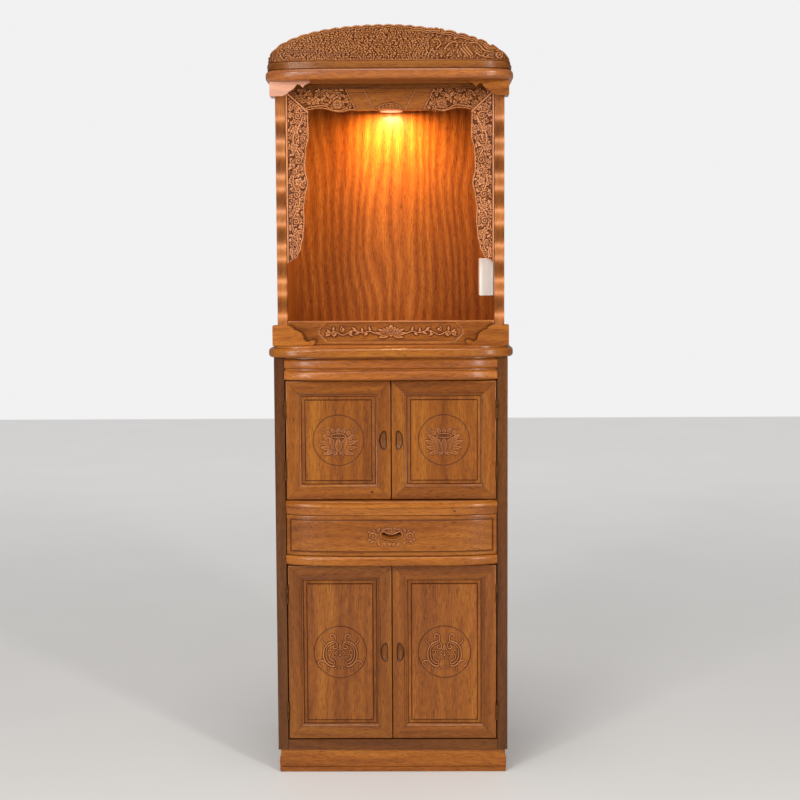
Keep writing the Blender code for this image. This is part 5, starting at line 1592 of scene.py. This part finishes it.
door_panel("door_upper_left", LOTUS_RADIUS, lotus_medallion, -0.12)
door_panel("door_upper_right", LOTUS_RADIUS, lotus_medallion, -0.12)
door_panel("door_lower_left", SCROLL_RADIUS, scroll_medallion, -0.18)
door_panel("door_lower_right", SCROLL_RADIUS, scroll_medallion, -0.11)

# %% [markdown]
# The drawer's front swells like the rails. It has a raised field with a fine step round it, and in the
# middle a deep recess for the fingers, shaped like a smiling bean, inside a carved surround: a shell
# above, a curl at each end and pointed leaves between.

# %% The drawer's front
low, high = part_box("drawer_front")
DRAWER_STEP = 0.0025
CURL_X = 0.0455
DRAWER_BAND = np.array([0.0, 0.0006, 0.0014, 0.006, 0.0108, 0.0116, 0.0124, 0.0132, 0.0142])
xs = np.concatenate([
    low.x + DRAWER_BAND,
    np.linspace(low.x + 0.016, -0.066, 34)[:-1],
    np.linspace(-0.066, 0.066, 185),
    np.linspace(0.066, high.x - 0.016, 34)[1:],
    high.x - DRAWER_BAND[::-1],
])
middle_rows = np.linspace(low.z + 0.016, high.z - 0.016, 88)
zs = np.concatenate([low.z + DRAWER_BAND, middle_rows, high.z - DRAWER_BAND[::-1]])
x, z = crossed(xs, zs)
front_work = Carving(x, z)
mid_z = (low.z + high.z) / 2
for side in (-1, 1):
    for px, pz, angle, length in (
        (0.040, 0.004, 62, 0.016), (0.036, 0.010, 110, 0.014), (0.026, 0.014, 150, 0.015),
        (0.044, -0.006, -62, 0.016), (0.034, -0.012, -115, 0.015), (0.022, -0.017, -150, 0.014),
        (0.050, 0.006, 28, 0.012), (0.050, -0.006, -28, 0.012), (0.014, 0.018, 165, 0.012),
        (0.010, -0.019, 190, 0.011),
    ):
        lean = mirrored(side, angle)
        front_work.leaf(side * px, mid_z + pz, lean, length, 0.0074, 0.0021, bend=0.2 * side)
    front_work.bead(side * CURL_X, mid_z, 0.0115, 0.0012)
    front_work.curl(side * CURL_X, mid_z, 0.0098, 90 - side * 90, side * 1.3, 0.0021, 0.0024)
for angle in (30, 60, 90, 120, 150):
    front_work.leaf(0.0, mid_z + 0.008, angle, 0.013, 0.0075, 0.0022, blunt=0.8, vein=False, dish=0.3)
front_work.bead(0.0, mid_z + 0.0115, 0.0044, 0.0024)
front_work.bead(0.0, mid_z - 0.0185, 0.0024, 0.0028)
BEAN_HALF = 0.0200
BEAN_DEPTH = 0.0125
bean_x = np.linspace(-BEAN_HALF, BEAN_HALF, 25)
bean = [(bx, mid_z + 0.0012 + 0.0062 * ((bx / BEAN_HALF) ** 2 - 0.5)) for bx in bean_x]
where = front_work.near(0.0, mid_z, 0.040)
edge, side_off = front_work.line_distance(where, np.array(bean), np.full(25, 0.0064))
front_work.lay(where, edge - 0.0028, 0.0022, 0.0030)
held = front_work.height[where]
slope = np.where(side_off > 0, 0.0018, 0.0120)
sink = np.clip(-edge / slope, 0, 1)
front_work.height[where] = np.where(edge < 0, -BEAN_DEPTH * sink, held)
# Painted shade inside the finger recess: full under its upper lip, lighter over its floor.
lip = np.zeros(x.shape)
shadow = np.where(side_off > 0, np.clip(1.30 + edge / 0.0070, 0, 1), 0.35)
lip[where] = np.clip(-edge / 0.0008, 0, 1) * shadow
edge = edge_distance(x, z, low, high)
front_work.height -= DRAWER_STEP * (1 - soft_step(np.clip((edge - 0.0112) / 0.0016, 0, 1)))
front_work.height -= 0.0009 * np.exp(-((edge - 0.0110) / 0.0006) ** 2)
front_work.height -= 0.0010 * (1 - np.clip(edge / 0.0012, 0, 1)) ** 2
face = bow_ends + 0.0010 - bow_line(x, high.x)
front = np.minimum(face - front_work.height, high.y - 0.001)
shown_height = np.maximum(front_work.height, -0.004)
mask = (np.abs(x) < 0.064) * (np.abs(z - mid_z) < 0.030) * (lip < 0.01) * 0.75
# Painted shadow along the step round the field and inside the recess.
dark = 0.9 * np.exp(-((edge - 0.0112) / 0.0014) ** 2) + 0.95 * lip
carved_board("drawer_front_carved", front_work, front, high.y, shown_height, carved_level,
             "drawer_front", -0.10, -0.0004, mask, dark, lit=0.60)

# %% [markdown]
# The small fittings come last: brass butt hinges whose knuckles show at the doors' outer edges, the round
# lamp at the niche's ceiling, and a white box on the niche's right wall. One hinge leaf is modelled and
# copied to all sixteen places, each copy with a mesh of its own.

# %% Hinges
low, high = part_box("door_lower_left_hinge_low")
hinge_height = high.z - low.z
knuckle = 0.0025
INSIDE, OUTSIDE = 0.00015, 0.00095
leaf = block("hinge_leaf", (INSIDE, 0.0029, -hinge_height / 2), (OUTSIDE, 0.0199, hinge_height / 2))
bpy.ops.mesh.primitive_cylinder_add(vertices=28, radius=knuckle, depth=hinge_height / 2 - 0.0003,
                                    location=(0, 0, -hinge_height / 4 - INSIDE))
barrel = bpy.context.active_object
bpy.ops.object.transform_apply(location=True)
for direction in (1, -1):
    draw_rings(barrel, (0, 0, direction), (0.0006, 0.0), (0.0006, -0.0004))
web = block("web", (INSIDE, 0.0, -hinge_height / 2), (OUTSIDE, 0.0035, -INSIDE))
for part in (barrel, web):
    combine(leaf, part, "UNION")
ease(leaf, 0.0002, 2, 40)
template = np.empty(len(leaf.data.vertices) * 3, np.float32)
leaf.data.vertices.foreach_get("co", template)
template = template.reshape(-1, 3)
axis_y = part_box("door_lower_left_hinge_low")[0].y + knuckle
hinges = 0
for node in sorted(body_of):
    if "_hinge_" not in node:
        continue
    low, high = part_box(node)
    side = 1 if low.x > 0 else -1
    moving = node.startswith("door")
    axis_x = (low.x + high.x) / 2
    copy = bpy.data.objects.new(node + "_brass", leaf.data.copy())
    bpy.context.scene.collection.objects.link(copy)
    flip_x = -side if moving else side
    flip_z = 1 if moving else -1
    places = template * np.array([flip_x, 1, flip_z]) + np.array([axis_x, axis_y, (low.z + high.z) / 2])
    copy.data.vertices.foreach_set("co", places.ravel().astype(np.float32))
    copy.data.update()
    only(copy)
    bpy.ops.object.mode_set(mode="EDIT")
    turn_outwards()
    settle(copy, brass, node)
    hinges += 1
bpy.data.objects.remove(leaf)
print("hinge leaves:", hinges)

# %% Lamp and switch box
def turned_disc(name, node, *rings):
    """A round piece that fills its box in the frame, with rings in its lower face."""
    low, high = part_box(node)
    only(None)
    bpy.ops.mesh.primitive_cylinder_add(vertices=72, radius=(high.x - low.x) / 2, depth=high.z - low.z,
                                        location=(low + high) / 2)
    piece = bpy.context.active_object
    piece.name = name
    bpy.ops.object.transform_apply(location=True)
    draw_rings(piece, (0, 0, -1), *rings)
    return piece


housing = turned_disc("lamp_housing_turned", "lamp_housing", (0.0035, 0.0), (0.0004, -0.0006))
bpy.ops.mesh.extrude_region_move(TRANSFORM_OT_translate={"value": (0, 0, 0.0045)})
bpy.ops.object.mode_set(mode="OBJECT")
ease(housing, 0.0012, 3, 50)
settle(housing, lamp_white, "lamp_housing")

lens = turned_disc("lamp_lens_frosted", "lamp_lens", (0.0012, 0), (0.004, 0), (0.006, 0), (0.007, 0))
bpy.ops.object.mode_set(mode="OBJECT")
ease(lens, 0.0008, 3, 50)
settle(lens, lens_glow, "lamp_lens")

low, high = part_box("switch_box")
switch = block("switch_box_moulded", low, high)
draw_rings(switch, (0, -1, 0), (0.0030, 0.0), (0.0006, -0.0008), (0.0040, 0.0006))
draw_rings(switch, (-1, 0, 0), (0.0080, 0.0), (0.0008, -0.0008))
bpy.ops.object.mode_set(mode="OBJECT")
ease(switch, 0.0022, 4, 60)
settle(switch, switch_white, "switch_box")
print("pieces:", len(made))

# %% [markdown]
# The cabinet stands on a plain pale floor that grows lighter towards the back. The light is soft: a
# large lamp box high on the left, a narrower one high on the right, a tall box at each side that draws
# the highlights on the rounded noses, and even light from above. The cabinet's own lamp throws a warm
# pool on the niche's back.

# %% Floor and light
only(None)
bpy.ops.mesh.primitive_plane_add(size=14, location=(0, 2.0, -0.0005))
floor = bpy.context.active_object
floor.name = "studio_floor"
pale = Finish("pale_floor", "floor")
x, y, z = pale.place()
cloud = pale.noise(pale.join(x * 2, y * 2, z), 4.0)
even = pale.tint(y.rise(-2.5, 4.0), paint(208, 206, 203), paint(252, 251, 250))
pale.surface(Base_Color=pale.shade(even, 1.0 - cloud * 0.06), Roughness=0.5)
floor.data.materials.append(pale.material)


def soft_light(name, place, aim, size, power, tint):
    only(None)
    bpy.ops.object.light_add(type="AREA", location=place)
    light = bpy.context.active_object
    light.name = name
    light.data.shape = "RECTANGLE"
    light.data.size, light.data.size_y = size
    light.data.energy = power
    light.data.color = tint
    light.rotation_euler = (Vector(aim) - Vector(place)).to_track_quat("-Z", "Y").to_euler()
    return light


def far_light(name, azimuth, height, spread, strength, tint):
    """Even light from far away; azimuth runs in degrees from the cabinet's front to its right."""
    only(None)
    bpy.ops.object.light_add(type="SUN")
    light = bpy.context.active_object
    light.name = name
    light.data.angle = math.radians(spread)
    light.data.energy = strength
    light.data.color = tint
    turn, rise = math.radians(azimuth), math.radians(height)
    source = Vector((math.sin(turn) * math.cos(rise), -math.cos(turn) * math.cos(rise), math.sin(rise)))
    light.rotation_euler = source.to_track_quat("Z", "Y").to_euler()
    return light


STUDIO_WHITE = (1.0, 0.98, 0.96)
LAMP_AMBER = (1.0, 0.62, 0.24)
for name, place, aim_height, size, power in (
    ("key", (-1.35, -3.15, 2.65), 1.05, (1.15, 0.95), 47),
    ("fill", (1.90, -3.05, 2.75), 1.10, (0.30, 0.9), 36),
    ("left_box", (-1.62, -2.75, 1.20), 1.05, (0.36, 1.5), 26),
    ("right_box", (1.62, -2.75, 1.20), 1.05, (0.36, 1.5), 26),
):
    soft_light(name, place, (0, 0, aim_height), size, power, STUDIO_WHITE)
far_light("ceiling", -10, 78, 30, 1.55, (1.0, 0.99, 0.98))
low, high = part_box("lamp_housing")
centre = (low + high) / 2
lens_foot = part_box("lamp_lens")[0].z
lamp = soft_light("niche_lamp", (0, centre.y, lens_foot - 0.003), (0, centre.y + 0.05, 1.2),
                  (0.05, 0.05), 3.3, LAMP_AMBER)
lamp.data.shape = "DISK"
bpy.context.scene.view_settings.view_transform = "Standard"

world = bpy.data.worlds.new("studio")
bpy.context.scene.world = world
world.use_nodes = True
sky = world.node_tree.nodes["Background"]
sky.inputs["Color"].default_value = (0.95, 0.95, 0.96, 1.0)
sky.inputs["Strength"].default_value = 0.28
backdrop = world.node_tree.nodes.new("ShaderNodeBackground")
backdrop.inputs["Color"].default_value = (0.97, 0.96, 0.97, 1.0)
backdrop.inputs["Strength"].default_value = 0.92
seen = world.node_tree.nodes.new("ShaderNodeLightPath")
either = world.node_tree.nodes.new("ShaderNodeMixShader")
world.node_tree.links.new(seen.outputs["Is Camera Ray"], either.inputs[0])
world.node_tree.links.new(sky.outputs[0], either.inputs[1])
world.node_tree.links.new(backdrop.outputs[0], either.inputs[2])
world.node_tree.links.new(either.outputs[0], world.node_tree.nodes["World Output"].inputs[0])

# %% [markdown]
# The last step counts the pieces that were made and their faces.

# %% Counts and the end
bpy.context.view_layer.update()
faces = sum(len(piece.data.polygons) for piece in made)
print("pieces:", len(made), "faces:", faces)
